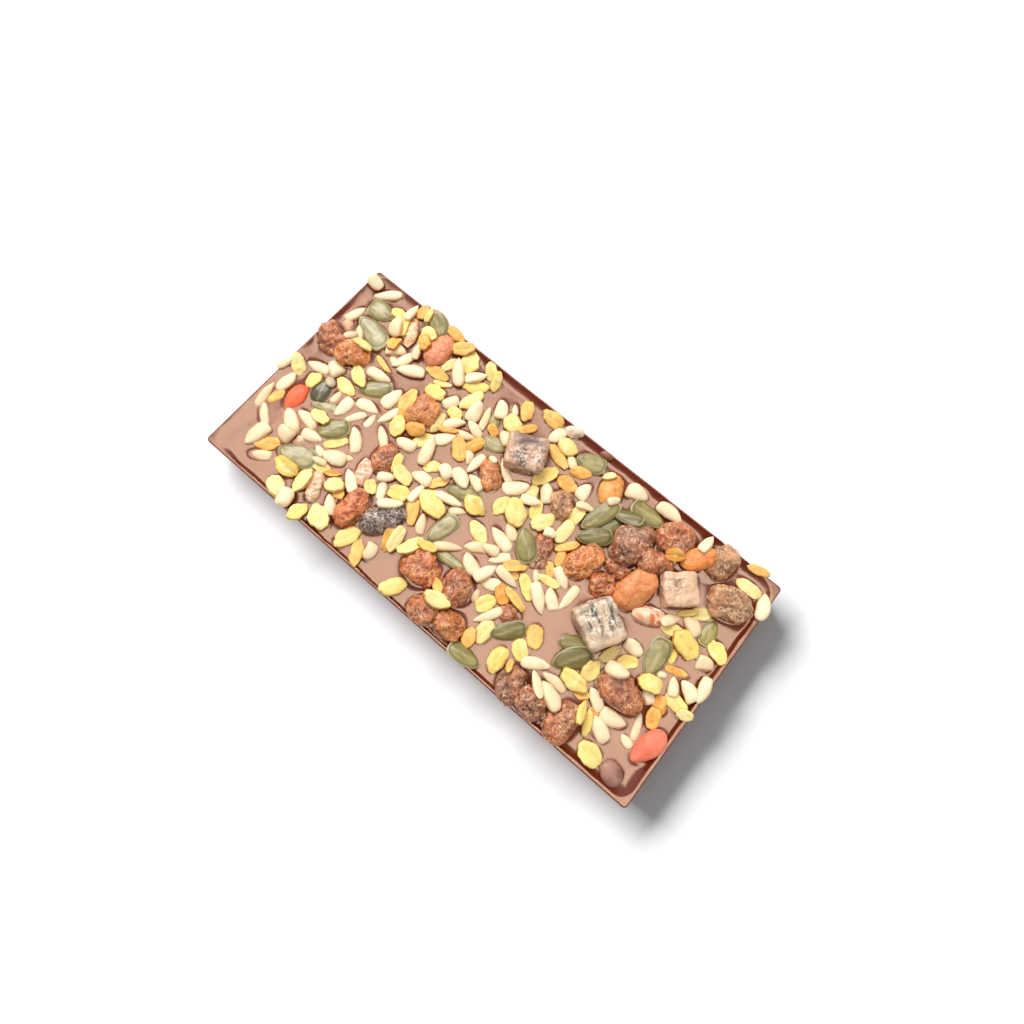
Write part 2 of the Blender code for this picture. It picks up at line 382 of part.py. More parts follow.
def lump_points(length, width, thickness, offset, tip=0.0, dents=0.07, phase=0.0):
    """Points of a dented egg: rings across its length and a point at each end.

    Each ring's radius is that of a blunt ellipse, less shallow dents that run along it. A
    tip draws one end out. The offset grows the whole outline.
    """
    points = [(-length / 2 - offset, 0.0, 0.0)]
    for ring in range(LUMP_RINGS):
        share = -1 + 2 * (ring + 0.5) / LUMP_RINGS
        share = math.copysign(abs(share) ** 0.8, share)
        radius = min(BLUNTNESS * math.sqrt(1 - share * share), 1.0) * (1 - tip * max(share, 0.0))
        for side in range(LUMP_SIDES):
            angle = 2 * math.pi * side / LUMP_SIDES
            dent = 1 - dents * (1 + math.cos(3 * angle + phase + 2.1 * share)) / 2
            y = (width / 2 * radius * dent + offset) * math.cos(angle)
            z = (thickness / 2 * radius * dent + offset) * math.sin(angle)
            points.append((share * (length / 2 + offset), y, z))
    points.append((length / 2 + offset, 0.0, 0.0))
    return points


def lump_faces():
    """Bands of four-sided faces between the rings, and a fan at each end."""
    faces = []
    last = LUMP_SIDES * LUMP_RINGS + 1
    for side in range(LUMP_SIDES):
        after = (side + 1) % LUMP_SIDES
        faces.append([0, 1 + after, 1 + side])
        top = last - LUMP_SIDES
        faces.append([last, top + side, top + after])
        for ring in range(LUMP_RINGS - 1):
            low = 1 + ring * LUMP_SIDES
            high = low + LUMP_SIDES
            faces.append([low + side, low + after, high + after, high + side])
    return faces


def block_points(length, width, height, offset, lean):
    """The corners of a block with its edges cut off, leaning a little along its length."""
    cut = 0.9 * MM
    points = []
    for axis in range(3):
        for signs in np.ndindex(2, 2, 2):
            sides = np.array(signs) * 2 - 1
            reach = np.array([length, width, height]) / 2 - cut + offset
            reach[axis] += cut
            corner = sides * reach
            corner[0] += math.tan(math.radians(lean)) * corner[2]
            points.append(tuple(corner))
    return points


def place_lump(name, row, place, shape, collections):
    """Put a dented egg and, round it, the larger one that clears a pocket for it."""
    thickness_share, tip, dents = shape
    length = row[3] * MM
    width = row[4] * MM
    phase = row[0] + row[1]
    for offset, collection in zip((0.0, GAP), collections):
        points = lump_points(length, width, thickness_share * width, offset, tip, dents, phase)
        object_of(name, [place @ Vector(point) for point in points], lump_faces(), collection)


def place_block(name, row, place, height, lean, collections):
    """Put a block and, round it, the larger one that clears a pocket for it."""
    for offset, collection in zip((0.0, GAP), collections):
        points = block_points(row[3] * MM, row[4] * MM, height, offset, lean)
        hull_object(name, [place @ Vector(point) for point in points], collection)


def cut_out(target, cutters):
    """Cut the cutters out of the target, and keep the largest piece that is left."""
    for cutter in cutters:
        cut = target.modifiers.new("pocket", "BOOLEAN")
        cut.operation = "DIFFERENCE"
        cut.solver = "EXACT"
        cut.object = cutter
    apply_modifiers(target)
    keep_largest_island(target)


def apply_modifiers(target):
    """Give the object the mesh that its modifiers make."""
    graph = bpy.context.evaluated_depsgraph_get()
    made = bpy.data.meshes.new_from_object(target.evaluated_get(graph))
    target.modifiers.clear()
    target.data = made


def islands_of(shape):
    """The faces of a mesh, sorted into connected pieces."""
    left = set(shape.faces)
    islands = []
    while left:
        island = set()
        front = [left.pop()]
        while front:
            face = front.pop()
            island.add(face)
            for edge in face.edges:
                beside = [other for other in edge.link_faces if other in left]
                left.difference_update(beside)
                front.extend(beside)
        islands.append(island)
    return islands


def keep_largest_island(target):
    """Drop scraps and sealed hollows."""
    shape = bmesh.new()
    shape.from_mesh(target.data)
    islands = islands_of(shape)
    islands.sort(key=len)
    for island in islands[:-1]:
        bmesh.ops.delete(shape, geom=list(island), context="FACES")
    bmesh.ops.triangulate(shape, faces=shape.faces)
    shape.to_mesh(target.data)
    shape.free()


def cut_from_neighbours(nodes, cutters):
    """Clear each piece of fruit of those laid before it, where they are close."""
    spots = []
    for node in nodes:
        corners = np.array([tuple(vertex.co) for vertex in node.data.vertices])
        middle = corners.mean(axis=0)
        spots.append((middle, np.linalg.norm(corners - middle, axis=1).max()))
    for later in range(len(nodes)):
        near = []
        for earlier in range(later):
            apart = np.linalg.norm(spots[later][0] - spots[earlier][0])
            if apart < spots[later][1] + spots[earlier][1] + GAP:
                near.append(cutters[earlier])
        if near:
            cut_out(nodes[later], near)


def fuse_toppings(slab, collection):
    """Join the seeds, flakes and crumbs to the chocolate in one union."""
    union = slab.modifiers.new("toppings", "BOOLEAN")
    union.operation = "UNION"
    union.solver = "EXACT"
    union.operand_type = "COLLECTION"
    union.collection = collection
    apply_modifiers(slab)
    keep_largest_island(slab)


def clear_pockets(slab, collection):
    """Cut the room for the fruit out of the chocolate, and thin out the joints' slivers."""
    pockets = slab.modifiers.new("pockets", "BOOLEAN")
    pockets.operation = "DIFFERENCE"
    pockets.solver = "EXACT"
    pockets.operand_type = "COLLECTION"
    pockets.collection = collection
    apply_modifiers(slab)
    keep_largest_island(slab)
    thinner = slab.modifiers.new("thinner", "DECIMATE")
    thinner.ratio = KEPT_FACES
    apply_modifiers(slab)
    keep_largest_island(slab)


def remove_collection(collection):
    """Remove a collection with its objects."""
    for item in list(collection.objects):
        bpy.data.objects.remove(item, do_unlink=True)
    bpy.data.collections.remove(collection)


# Each kind's name, rows, thickness as a share of the width, tip, dents and depth sunk.
LUMP_KINDS = [
    ("raisin", RAISINS, 0.7, 0.0, 0.14, 1.4 * MM),
    ("apricot_piece", APRICOT_PIECES, 0.6, 0.0, 0.1, 1.2 * MM),
    ("goji_berry", GOJI_BERRIES, 0.62, 0.35, 0.12, 1.0 * MM),
    ("fruit_shred", FRUIT_SHREDS, 0.62, 0.1, 0.1, 0.8 * MM),
]
SMALL_KINDS = [
    ("pumpkin_seed", PUMPKIN, PUMPKIN_FORM),
    ("oat_flake", OATS, FLAKE_FORM),
    ("toasted_oat_flake", TOASTED_OATS, FLAKE_FORM),
    ("sunflower_kernel", SUNFLOWER, KERNEL_FORM),
    ("fruit_crumb", FRUIT_CRUMBS, CRUMB_FORM),
]
CUBE_SINK = 1.2 * MM


def lay_fruit(heap, layer, collections):
    """Lay the fruit of one layer, each piece with its cutter."""
    for kind, rows, thickness_share, tip, dents, sink in LUMP_KINDS:
        for number, row in enumerate(rows, 1):
            if row[5] == layer:
                place, _ = heap.lay(row, thickness_share * row[4] * MM, sink, 0.9)
                shape = (thickness_share, tip, dents)
                place_lump(f"{kind}_{number:02d}", row, place, shape, collections)
    for number, row in enumerate(CANDIED_CUBES, 1):
        if row[5] == layer:
            height = CUBE_HEIGHTS[number - 1]
            lean = CUBE_LEANS[number - 1]
            place, _ = heap.lay(row, height, CUBE_SINK, 0.0)
            place_block(f"candied_cube_{number:02d}", row, place, height, lean, collections)


def lay_toppings(heap, layer, collection):
    """Lay the small toppings of one layer."""
    for kind, rows, form in SMALL_KINDS:
        for number, row in enumerate(rows, 1):
            if row[5] == layer:
                lay_small(heap, row, form, f"{kind}_{number:03d}", collection)


MATERIALS = {
    "chocolate_slab": ("milk chocolate", CHOCOLATE_BROWN, 0.35),
    "raisin": ("raisin skin", RAISIN_BROWN, 0.55),
    "apricot_piece": ("dried apricot", APRICOT_ORANGE, 0.5),
    "goji_berry": ("goji skin", GOJI_RED, 0.45),
    "fruit_shred": ("dried fruit shred", SHRED_PINK, 0.6),
    "candied_cube": ("candied fruit", CUBE_BEIGE, 0.6),
}


def finish_nodes(nodes):
    """Give each node the material of its kind, and shade its round sides smooth."""
    made = {kind: material(*values) for kind, values in MATERIALS.items()}
    for node in nodes:
        kind = node.name.rstrip("0123456789").rstrip("_")
        node.data.materials.clear()
        node.data.materials.append(made[kind])
        node.data.shade_smooth()
        node.data.set_sharp_from_angle(angle=SHARP_ANGLE)


def main():
    for item in list(bpy.data.objects):
        bpy.data.objects.remove(item, do_unlink=True)
    scene_collection = bpy.context.scene.collection
    toppings = bpy.data.collections.new("toppings")
    fruit = bpy.data.collections.new("fruit")
    pockets = bpy.data.collections.new("pockets")
    for collection in (toppings, fruit, pockets):
        scene_collection.children.link(collection)
    slab = chocolate_slab(scene_collection)
    heap = Heap()
    for layer in range(3):
        lay_fruit(heap, layer, (fruit, pockets))
        lay_toppings(heap, layer, toppings)
    nodes = list(fruit.objects)
    cutters = list(pockets.objects)
    for cutter in cutters:
        cutter.hide_render = True
        cutter.display_type = "WIRE"
    bpy.context.view_layer.update()
    fuse_toppings(slab, toppings)
    cut_from_neighbours(nodes, cutters)
    clear_pockets(slab, pockets)
    remove_collection(toppings)
    remove_collection(pockets)
    finish_nodes([slab, *nodes])


if __name__ == "__main__":
    main()
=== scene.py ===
"""Dresses a milk chocolate bar strewn with seeds, oat flakes and dried fruit, and sets its stage.

The bar's solids come from the frame. This script gives each of them the surface that it shows:
poured chocolate with a thin rim, smooth kernels, creased flakes, ridged pumpkin seeds, wrinkled
raisins and sugar-frosted cubes. Every surface is worked out as whole arrays, from a grid of two
parameters. X runs along the bar, Y across it and Z up, with the origin under the bar's middle.
"""

import functools
import math

import bpy
import numpy as np
from bpy.props import FloatProperty, FloatVectorProperty, PointerProperty
from bpy.types import Operator, Panel, PropertyGroup
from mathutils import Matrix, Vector


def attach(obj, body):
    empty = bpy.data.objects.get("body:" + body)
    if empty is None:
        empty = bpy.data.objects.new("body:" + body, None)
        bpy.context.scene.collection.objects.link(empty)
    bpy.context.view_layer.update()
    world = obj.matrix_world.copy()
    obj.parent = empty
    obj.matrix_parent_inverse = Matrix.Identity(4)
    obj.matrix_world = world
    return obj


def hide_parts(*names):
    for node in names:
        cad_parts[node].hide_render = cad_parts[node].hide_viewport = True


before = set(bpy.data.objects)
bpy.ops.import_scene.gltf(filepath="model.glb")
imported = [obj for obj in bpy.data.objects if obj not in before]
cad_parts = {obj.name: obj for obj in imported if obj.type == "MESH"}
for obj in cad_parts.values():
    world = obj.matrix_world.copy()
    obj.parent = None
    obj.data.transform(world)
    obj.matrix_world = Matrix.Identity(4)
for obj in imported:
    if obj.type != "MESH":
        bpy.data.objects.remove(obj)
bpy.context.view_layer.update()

bl_info = {
    "name": "Muesli chocolate bar",
    "version": (1, 0, 0),
    "blender": (4, 5, 0),
    "location": "View3D > Sidebar > Chocolate Bar",
    "description": "Dresses a milk chocolate bar strewn with seeds, oat flakes and dried fruit",
    "category": "Object",
}

MM = 0.001
BODY = "root"
SLAB = "chocolate_slab"

# The bar, in metres. They are the solid's own sizes, so they aren't sliders. Only the two corner
# radii at the end differ, because the photo's corners are tighter than the solid's 1.8 and 7 mm.
LENGTH = 160.0 * MM
WIDTH = 76.6 * MM
THICKNESS = 8.0 * MM
DISH_DEPTH = 2.0 * MM
FLOOR = THICKNESS - DISH_DEPTH
WALL_LEAN = 2.2 * MM
RIM_WIDTH = 1.3 * MM
RIM_SLOPE = 1.3 * MM
BASE_ROUND = 0.7 * MM
SHOULDER_DROP = 0.8 * MM
SHOULDER_WIDTH = 0.5 * MM
CORNER_RADIUS = 1.3 * MM
DISH_CORNER_RADIUS = 5.5 * MM

# How toppings settle, as in the solids. Their places are those at which they are seen on the
# plane of the rim from EYE. The height map has a step of CELL and goes HEAP_MARGIN past the bar.
# A piece slopes by STEEPEST at most, and is raised until REST_SHARE of the ground is below it.
EYE = np.array([25.5, -37.4, 204.8]) * MM
CELL = 0.5 * MM
HEAP_MARGIN = 6.0 * MM
STEEPEST = 0.4
REST_SHARE = 0.86

# Every topping. A row holds its x and y in millimetres, its turn in degrees, its length and
# width in millimetres, and its layer: 0 lies on the chocolate, and 1 and 2 on what came before.
ROW_X, ROW_Y, ROW_LENGTH, ROW_WIDTH, ROW_LAYER = 0, 1, 3, 4, 5

SUNFLOWER = [
    (-78.3, 34.7, -5, 5.6, 4.2, 1), (-71.8, 33.5, 220, 9.7, 3.4, 0), (-61.8, 34.2, 95, 7.0, 2.9, 1),
    (-62.3, 27.2, 118, 7.0, 4.6, 2), (-75.0, 22.0, 72, 7.6, 3.3, 0),
    (-52.5, 19.6, 250, 8.0, 3.3, 1), (-51.6, 25.0, 110, 5.0, 2.7, 1),
    (-48.4, 18.6, 210, 9.3, 4.0, 1), (-55.4, 18.3, 145, 4.2, 2.3, 0),
    (-56.7, 21.0, 30, 6.8, 4.2, 0), (-69.4, 17.4, 130, 6.0, 3.0, 0), (-55.0, 11.0, 8, 9.3, 4.0, 0),
    (-46.4, 8.0, 82, 8.0, 4.3, 0), (-43.3, 3.0, 250, 8.5, 2.7, 1), (-50.2, 1.0, 10, 8.0, 3.8, 0),
    (-66.9, 4.0, 160, 5.6, 4.8, 1), (-71.0, 0.8, 195, 8.0, 3.6, 0), (-59.9, -3.0, 85, 5.0, 2.7, 0),
    (-55.7, -4.0, 268, 7.6, 4.1, 0), (-51.0, -4.2, 240, 8.0, 2.6, 1),
    (-46.5, -2.0, 92, 5.3, 2.6, 0), (-45.9, -9.3, 135, 8.8, 3.9, 0),
    (-40.2, -3.2, 142, 8.0, 2.9, 0), (-75.1, -9.0, 85, 8.5, 3.9, 1),
    (-77.2, -16.5, 97, 9.5, 2.9, 0), (-80.2, -5.2, 60, 5.0, 3.0, 0),
    (-61.9, -14.0, 175, 8.6, 3.6, 0), (-65.0, -17.5, 145, 8.5, 4.7, 1),
    (-63.6, -21.4, 175, 5.8, 4.5, 1), (-56.6, -17.1, 15, 7.4, 3.6, 0),
    (-72.7, -21.3, 138, 8.0, 3.1, 0), (-69.8, -27.4, 262, 9.0, 5.0, 1),
    (-64.3, -31.3, 210, 7.2, 3.4, 0), (-47.0, -17.7, 200, 8.2, 4.6, 1),
    (-51.6, -18.9, 160, 4.2, 2.6, 0), (-49.6, -21.3, 195, 5.0, 2.3, 0),
    (-49.8, -35.9, 120, 6.4, 5.0, 1), (-58.8, -20.4, 60, 3.2, 2.6, 0),
    (-43.3, -15.0, 30, 3.4, 2.0, 0), (-36.8, 28.3, 130, 9.3, 4.1, 1),
    (-31.4, 30.6, 50, 7.5, 3.6, 0), (-31.8, 19.0, 60, 5.6, 4.0, 0), (-24.1, 21.6, 98, 7.6, 4.6, 1),
    (-20.2, 21.9, 107, 8.6, 2.5, 1), (-20.6, 17.2, 165, 7.0, 3.1, 1),
    (-18.4, 27.5, 122, 6.6, 4.0, 0), (-14.9, 30.0, 125, 4.2, 2.2, 0),
    (-11.3, 21.2, 145, 6.0, 4.0, 1), (-21.4, 13.6, 22, 7.0, 2.8, 0), (-26.4, 14.3, 50, 7.6, 3.2, 1),
    (-27.0, 2.7, 107, 10.4, 4.2, 1), (-25.2, 8.7, 55, 7.6, 3.8, 0), (-12.9, 8.9, 265, 7.8, 3.1, 1),
    (-15.7, 8.9, 300, 4.4, 2.6, 0), (-13.4, 2.5, -20, 7.6, 4.3, 1), (-9.2, 4.4, 165, 6.3, 3.1, 0),
    (-33.3, -0.3, 192, 7.0, 4.1, 0), (-18.4, 1.1, 160, 5.2, 4.1, 1),
    (-22.6, -5.2, 190, 7.0, 3.9, 1), (-11.8, -4.8, 15, 9.0, 3.0, 1), (-7.4, -5.9, 32, 5.6, 2.5, 0),
    (-20.5, -9.6, 88, 7.2, 2.9, 1), (-30.9, -11.8, 35, 5.6, 3.1, 1),
    (-29.0, -15.6, 120, 6.8, 3.2, 0), (-31.9, 8.9, 115, 4.6, 2.3, 0),
    (-9.8, 13.3, 170, 3.2, 2.1, 1), (-4.6, 13.1, 145, 8.6, 2.6, 1), (1.3, 11.0, 45, 8.6, 4.5, 0),
    (-38.0, -19.7, 145, 8.2, 3.6, 0), (-24.2, -17.2, 40, 8.0, 3.3, 2),
    (-37.7, -29.0, 133, 7.0, 3.4, 0), (-19.0, -31.6, 282, 5.6, 3.9, 0),
    (-13.1, -15.8, 120, 6.8, 3.0, 0), (-2.6, -15.8, 35, 9.2, 2.9, 1), (0.3, 32.0, 255, 6.2, 4.0, 0),
    (8.9, 28.6, 140, 5.2, 2.7, 0), (17.7, 23.5, 88, 6.0, 4.0, 0), (30.4, 33.7, 12, 7.2, 4.7, 0),
    (41.6, 35.2, 0, 8.9, 4.2, 1), (26.4, 27.2, 55, 4.6, 2.6, 2), (9.2, 15.9, 130, 6.8, 3.9, 1),
    (21.0, 20.1, 20, 6.2, 2.5, 1), (7.1, 10.9, 20, 6.6, 3.2, 1), (17.9, 7.0, 15, 4.2, 3.1, 1),
    (8.7, -0.2, 148, 6.2, 3.3, 0), (7.8, -4.0, 165, 9.0, 4.0, 0), (28.7, -1.3, -28, 7.2, 3.7, 0),
    (33.9, -4.6, 268, 9.3, 3.0, 0), (7.4, -8.2, 195, 5.6, 3.3, 1), (3.6, -10.7, 215, 7.2, 3.5, 0),
    (11.2, -8.7, 230, 7.0, 3.0, 0), (16.4, -11.4, -6, 8.4, 3.0, 1), (27.2, -10.2, -40, 9.8, 3.9, 1),
    (30.2, -7.9, 140, 6.8, 3.8, 0), (22.4, -5.5, 135, 4.2, 2.0, 0), (5.7, -15.4, 155, 7.2, 4.3, 0),
    (10.7, -14.5, 68, 7.6, 3.8, 1), (13.7, -16.0, 200, 6.6, 3.8, 0),
    (19.2, -23.3, 240, 9.6, 2.9, 1), (12.8, -21.2, 105, 4.2, 2.3, 0),
    (38.2, -24.8, 30, 8.9, 3.6, 1), (55.5, 34.8, 82, 7.4, 3.1, 1), (79.0, 30.4, 107, 8.6, 3.9, 1),
    (66.1, 12.4, 155, 6.6, 4.4, 1), (60.4, 9.8, 55, 7.2, 3.2, 1), (74.9, 6.3, 25, 5.4, 4.1, 0),
    (78.9, 0.0, 280, 8.4, 3.5, 1), (76.0, -2.6, 150, 6.6, 4.1, 1), (71.7, -4.6, 115, 6.0, 3.1, 0),
    (56.8, -3.4, 0, 6.0, 4.1, 0), (57.0, -11.4, 12, 7.2, 4.5, 2), (67.3, -4.2, 20, 3.2, 2.2, 0),
    (67.4, -10.9, 140, 5.8, 3.5, 0), (45.2, -25.2, 180, 8.4, 3.1, 0),
    (46.6, -28.8, 155, 9.0, 4.5, 2), (41.8, -28.9, 140, 8.4, 2.9, 1),
    (57.0, -21.3, 150, 7.2, 3.6, 1), (63.9, -22.4, 12, 8.0, 4.3, 0),
    (62.3, -26.9, 158, 8.2, 4.6, 0), (70.1, -19.7, 110, 8.0, 2.6, 0),
    (70.1, -24.6, 165, 4.4, 2.6, 0),
]

OATS = [
    (-57.0, 37.2, 100, 5.0, 2.4, 1), (-52.4, 32.0, 10, 6.2, 4.6, 0), (-64.4, 31.0, 10, 6.0, 3.6, 0),
    (-60.3, 29.0, 115, 7.6, 3.1, 1), (-65.9, 15.3, 12, 6.6, 2.9, 2),
    (-76.8, -2.8, 145, 7.6, 4.7, 0), (-69.2, -3.5, 85, 6.0, 4.5, 0), (-59.8, 6.9, 145, 7.7, 4.3, 0),
    (-60.0, 1.4, 175, 7.7, 4.4, 0), (-59.0, -10.9, 0, 6.8, 3.9, 1), (-49.4, -13.8, 53, 8.0, 3.1, 1),
    (-39.0, 2.4, 110, 6.9, 4.9, 1), (-55.6, -28.9, 4, 8.5, 5.1, 1),
    (-53.9, -35.2, 150, 7.4, 5.3, 0), (-48.9, -28.8, 95, 8.6, 4.6, 0),
    (-43.4, -36.9, 85, 7.0, 4.4, 0), (-47.4, -22.3, 25, 6.2, 3.1, 0),
    (-40.9, -23.8, 20, 6.2, 5.0, 1), (-37.4, -34.0, 140, 8.2, 6.1, 0),
    (-35.9, 32.8, 100, 7.7, 6.1, 0), (-28.8, 35.1, 140, 6.4, 4.1, 0),
    (-25.6, 33.6, 112, 6.6, 3.4, 0), (-29.2, 27.9, 36, 8.2, 4.2, 0), (-27.3, 23.6, 75, 8.4, 4.2, 1),
    (-28.2, 16.9, 170, 5.2, 4.4, 1), (-37.9, 21.9, 25, 6.2, 2.2, 0), (-37.7, 18.1, 15, 6.6, 5.6, 0),
    (-12.7, 26.0, 170, 6.2, 5.6, 1), (-30.3, 11.2, 100, 7.2, 3.4, 1), (-30.3, 3.6, 70, 7.2, 3.6, 0),
    (-22.4, -0.6, 45, 5.8, 3.6, 0), (-4.8, -1.2, 178, 7.6, 5.2, 1), (-27.2, -8.3, 175, 7.6, 4.6, 1),
    (-31.2, -6.6, 110, 6.6, 3.2, 0), (-24.5, -13.2, 10, 6.6, 5.6, 1),
    (-14.6, -9.1, 160, 9.8, 6.6, 1), (1.4, -6.6, 162, 7.8, 4.4, 0), (1.4, 3.9, 88, 6.8, 4.3, 0),
    (-32.2, -17.4, 135, 4.8, 4.1, 0), (-15.8, -23.9, 100, 8.9, 4.2, 1),
    (-10.7, -22.9, 65, 8.6, 4.2, 0), (-7.4, -19.7, 15, 6.2, 3.2, 1), (-7.0, -34.8, 57, 8.6, 5.0, 0),
    (-27.0, -32.8, 68, 8.7, 5.1, 0), (5.0, 31.4, 8, 6.8, 5.2, 1), (5.6, 19.4, 68, 9.4, 4.7, 1),
    (20.4, 16.4, 95, 8.2, 4.2, 0), (20.9, 10.2, 95, 8.2, 4.4, 1), (5.9, 12.9, 100, 5.4, 3.8, 0),
    (20.8, 32.4, 40, 4.4, 2.4, 0), (6.0, 5.2, 138, 9.3, 6.3, 1), (10.3, 9.6, 115, 7.0, 3.8, 0),
    (14.1, 8.1, 58, 8.0, 4.7, 1), (26.6, -4.4, 8, 7.2, 2.8, 1), (22.4, -9.9, 145, 8.8, 3.7, 1),
    (16.5, -21.2, 72, 7.0, 4.7, 0), (21.3, -27.4, 95, 7.8, 4.8, 0), (29.1, -30.7, 105, 8.1, 5.4, 0),
    (32.3, -24.7, 150, 6.8, 4.8, 0), (4.9, -29.5, 18, 8.4, 4.9, 2), (72.7, 31.9, 0, 8.6, 4.4, 0),
    (66.1, 16.7, 40, 5.4, 4.3, 0), (67.6, 7.0, 170, 9.4, 6.6, 1), (75.9, 11.1, 155, 7.6, 4.9, 0),
    (66.6, 1.8, 105, 4.4, 2.6, 0), (66.4, -8.1, 10, 7.4, 5.2, 1), (74.8, -7.7, 175, 7.6, 4.8, 0),
    (57.8, -7.6, 35, 6.2, 4.1, 1), (52.5, -9.3, 72, 7.4, 3.2, 0), (64.3, -33.7, 0, 8.0, 6.2, 0),
    (51.1, -16.3, 92, 7.2, 5.0, 1), (49.2, -21.4, 2, 8.7, 5.0, 1), (56.1, -26.8, 110, 7.2, 2.9, 0),
    (59.1, -27.8, 118, 7.8, 2.8, 1), (-40.5, 28.2, 80, 6.2, 3.1, 0), (78.6, -8.6, 200, 5.0, 3.4, 1),
    (62.4, 7.8, 15, 7.2, 4.1, 0), (63.0, 14.4, 45, 6.2, 2.2, 2),
]

TOASTED_OATS = [
    (-59.1, 36.9, 82, 5.8, 3.5, 0), (-45.9, 37.6, 0, 6.8, 3.9, 0), (-41.0, 35.5, 48, 7.2, 4.6, 0),
    (-51.8, 29.0, 160, 6.4, 4.5, 1), (-58.6, 22.3, 110, 5.8, 4.1, 1),
    (-56.5, 14.7, 164, 7.6, 2.1, 0), (-41.6, 23.5, 8, 8.2, 3.9, 0), (-74.2, -14.8, 70, 6.2, 4.1, 0),
    (-42.2, 10.5, 100, 9.0, 4.5, 0), (-40.0, 6.2, 150, 4.6, 3.1, 0),
    (-65.0, -27.4, 42, 7.7, 4.7, 1), (-43.7, -21.4, 35, 5.2, 2.1, 1),
    (-11.9, 32.3, 122, 7.2, 4.4, 1), (-8.0, 27.8, 55, 7.2, 2.8, 1), (-3.9, 35.7, 0, 8.0, 4.9, 0),
    (-15.8, 20.5, 150, 4.6, 3.2, 2), (-16.9, 13.4, 75, 6.4, 4.1, 1), (-34.9, 5.6, 25, 6.4, 4.6, 1),
    (-19.5, 9.0, 128, 8.1, 5.1, 0), (-26.6, 11.4, 32, 6.6, 2.0, 2), (-17.7, -3.1, 56, 7.2, 3.1, 1),
    (-17.7, -14.5, 118, 9.6, 4.1, 1), (-21.8, -34.3, 124, 8.6, 3.9, 0),
    (-38.3, -24.6, 145, 5.2, 3.7, 0), (-17.7, -25.4, 112, 8.2, 3.2, 0),
    (5.0, 26.9, 158, 9.6, 3.8, 0), (13.1, 27.5, 25, 6.8, 3.8, 0), (12.2, 21.9, 5, 6.8, 4.6, 0),
    (24.4, 7.1, 55, 7.9, 2.8, 1), (24.7, 3.1, 110, 5.6, 3.1, 0), (24.5, -1.5, 142, 5.4, 2.8, 0),
    (16.1, -7.5, 42, 8.1, 3.6, 1), (16.2, -9.8, 10, 6.2, 3.2, 0), (18.4, -16.2, 140, 6.4, 4.2, 1),
    (22.1, -14.8, 167, 9.2, 3.0, 2), (19.1, -31.4, 120, 6.0, 4.2, 1),
    (33.1, -19.1, 125, 7.2, 5.1, 0), (2.6, -26.1, 150, 4.8, 3.2, 1),
    (32.9, -29.9, 120, 4.2, 2.2, 0), (50.3, 26.2, 28, 6.2, 4.3, 2), (72.0, 38.3, 15, 7.2, 3.0, 1),
    (69.8, -0.8, 18, 7.4, 2.5, 0), (71.6, -11.0, 120, 6.0, 4.2, 0), (72.2, -14.9, 108, 6.6, 4.1, 1),
    (53.0, -22.9, 20, 4.8, 3.2, 0), (58.4, -24.3, 10, 3.4, 2.3, 0),
]

PUMPKIN = [
    (-69.3, 28.0, 5, 9.2, 6.3, 0), (-66.5, 20.7, 165, 13.2, 7.0, 0),
    (-52.9, 37.0, 152, 9.8, 6.1, 0), (-64.6, -4.4, 100, 8.8, 5.6, 0),
    (-52.6, 6.9, 222, 11.2, 5.6, 0), (-59.9, -7.9, 202, 8.6, 3.9, 0),
    (-53.3, -11.4, 232, 10.8, 6.0, 0), (-70.6, -19.0, 125, 8.8, 4.5, 0),
    (-55.6, -24.4, 200, 12.8, 6.8, 0), (-17.6, 23.5, 120, 5.4, 3.4, 0),
    (-12.2, 17.4, 20, 7.2, 4.8, 0), (-9.8, -0.7, 202, 11.2, 4.6, 0),
    (-7.4, -13.0, 258, 11.6, 5.3, 0), (0.6, -18.3, 5, 11.4, 3.4, 1), (13.8, 32.0, 200, 9.4, 6.1, 0),
    (36.8, 30.1, 0, 11.2, 6.4, 1), (32.6, 25.6, 195, 9.8, 4.6, 0), (26.0, 21.0, 252, 13.6, 5.3, 1),
    (30.2, 19.5, 245, 8.2, 4.3, 0), (28.6, 14.6, 220, 10.8, 5.2, 1),
    (14.5, -0.5, 137, 11.2, 6.1, 1), (26.4, -22.9, 230, 10.9, 5.1, 1),
    (21.2, -36.2, 3, 10.4, 5.2, 1), (71.0, 13.9, 97, 8.2, 4.6, 1), (63.2, -1.4, 278, 12.6, 6.3, 0),
    (43.0, -13.8, 205, 9.2, 5.6, 0), (45.3, -17.0, 230, 11.8, 6.4, 1),
]

FRUIT_CRUMBS = [
    (-73.9, 17.3, 140, 5.0, 3.6, 0), (-71.2, 15.6, 60, 4.8, 2.7, 1), (3.6, 36.6, 25, 6.2, 3.8, 0),
    (16.0, 37.2, 10, 4.4, 2.2, 0), (-64.8, -0.5, 150, 3.8, 3.0, 2), (71.9, -33.8, 165, 7.0, 6.0, 0),
]

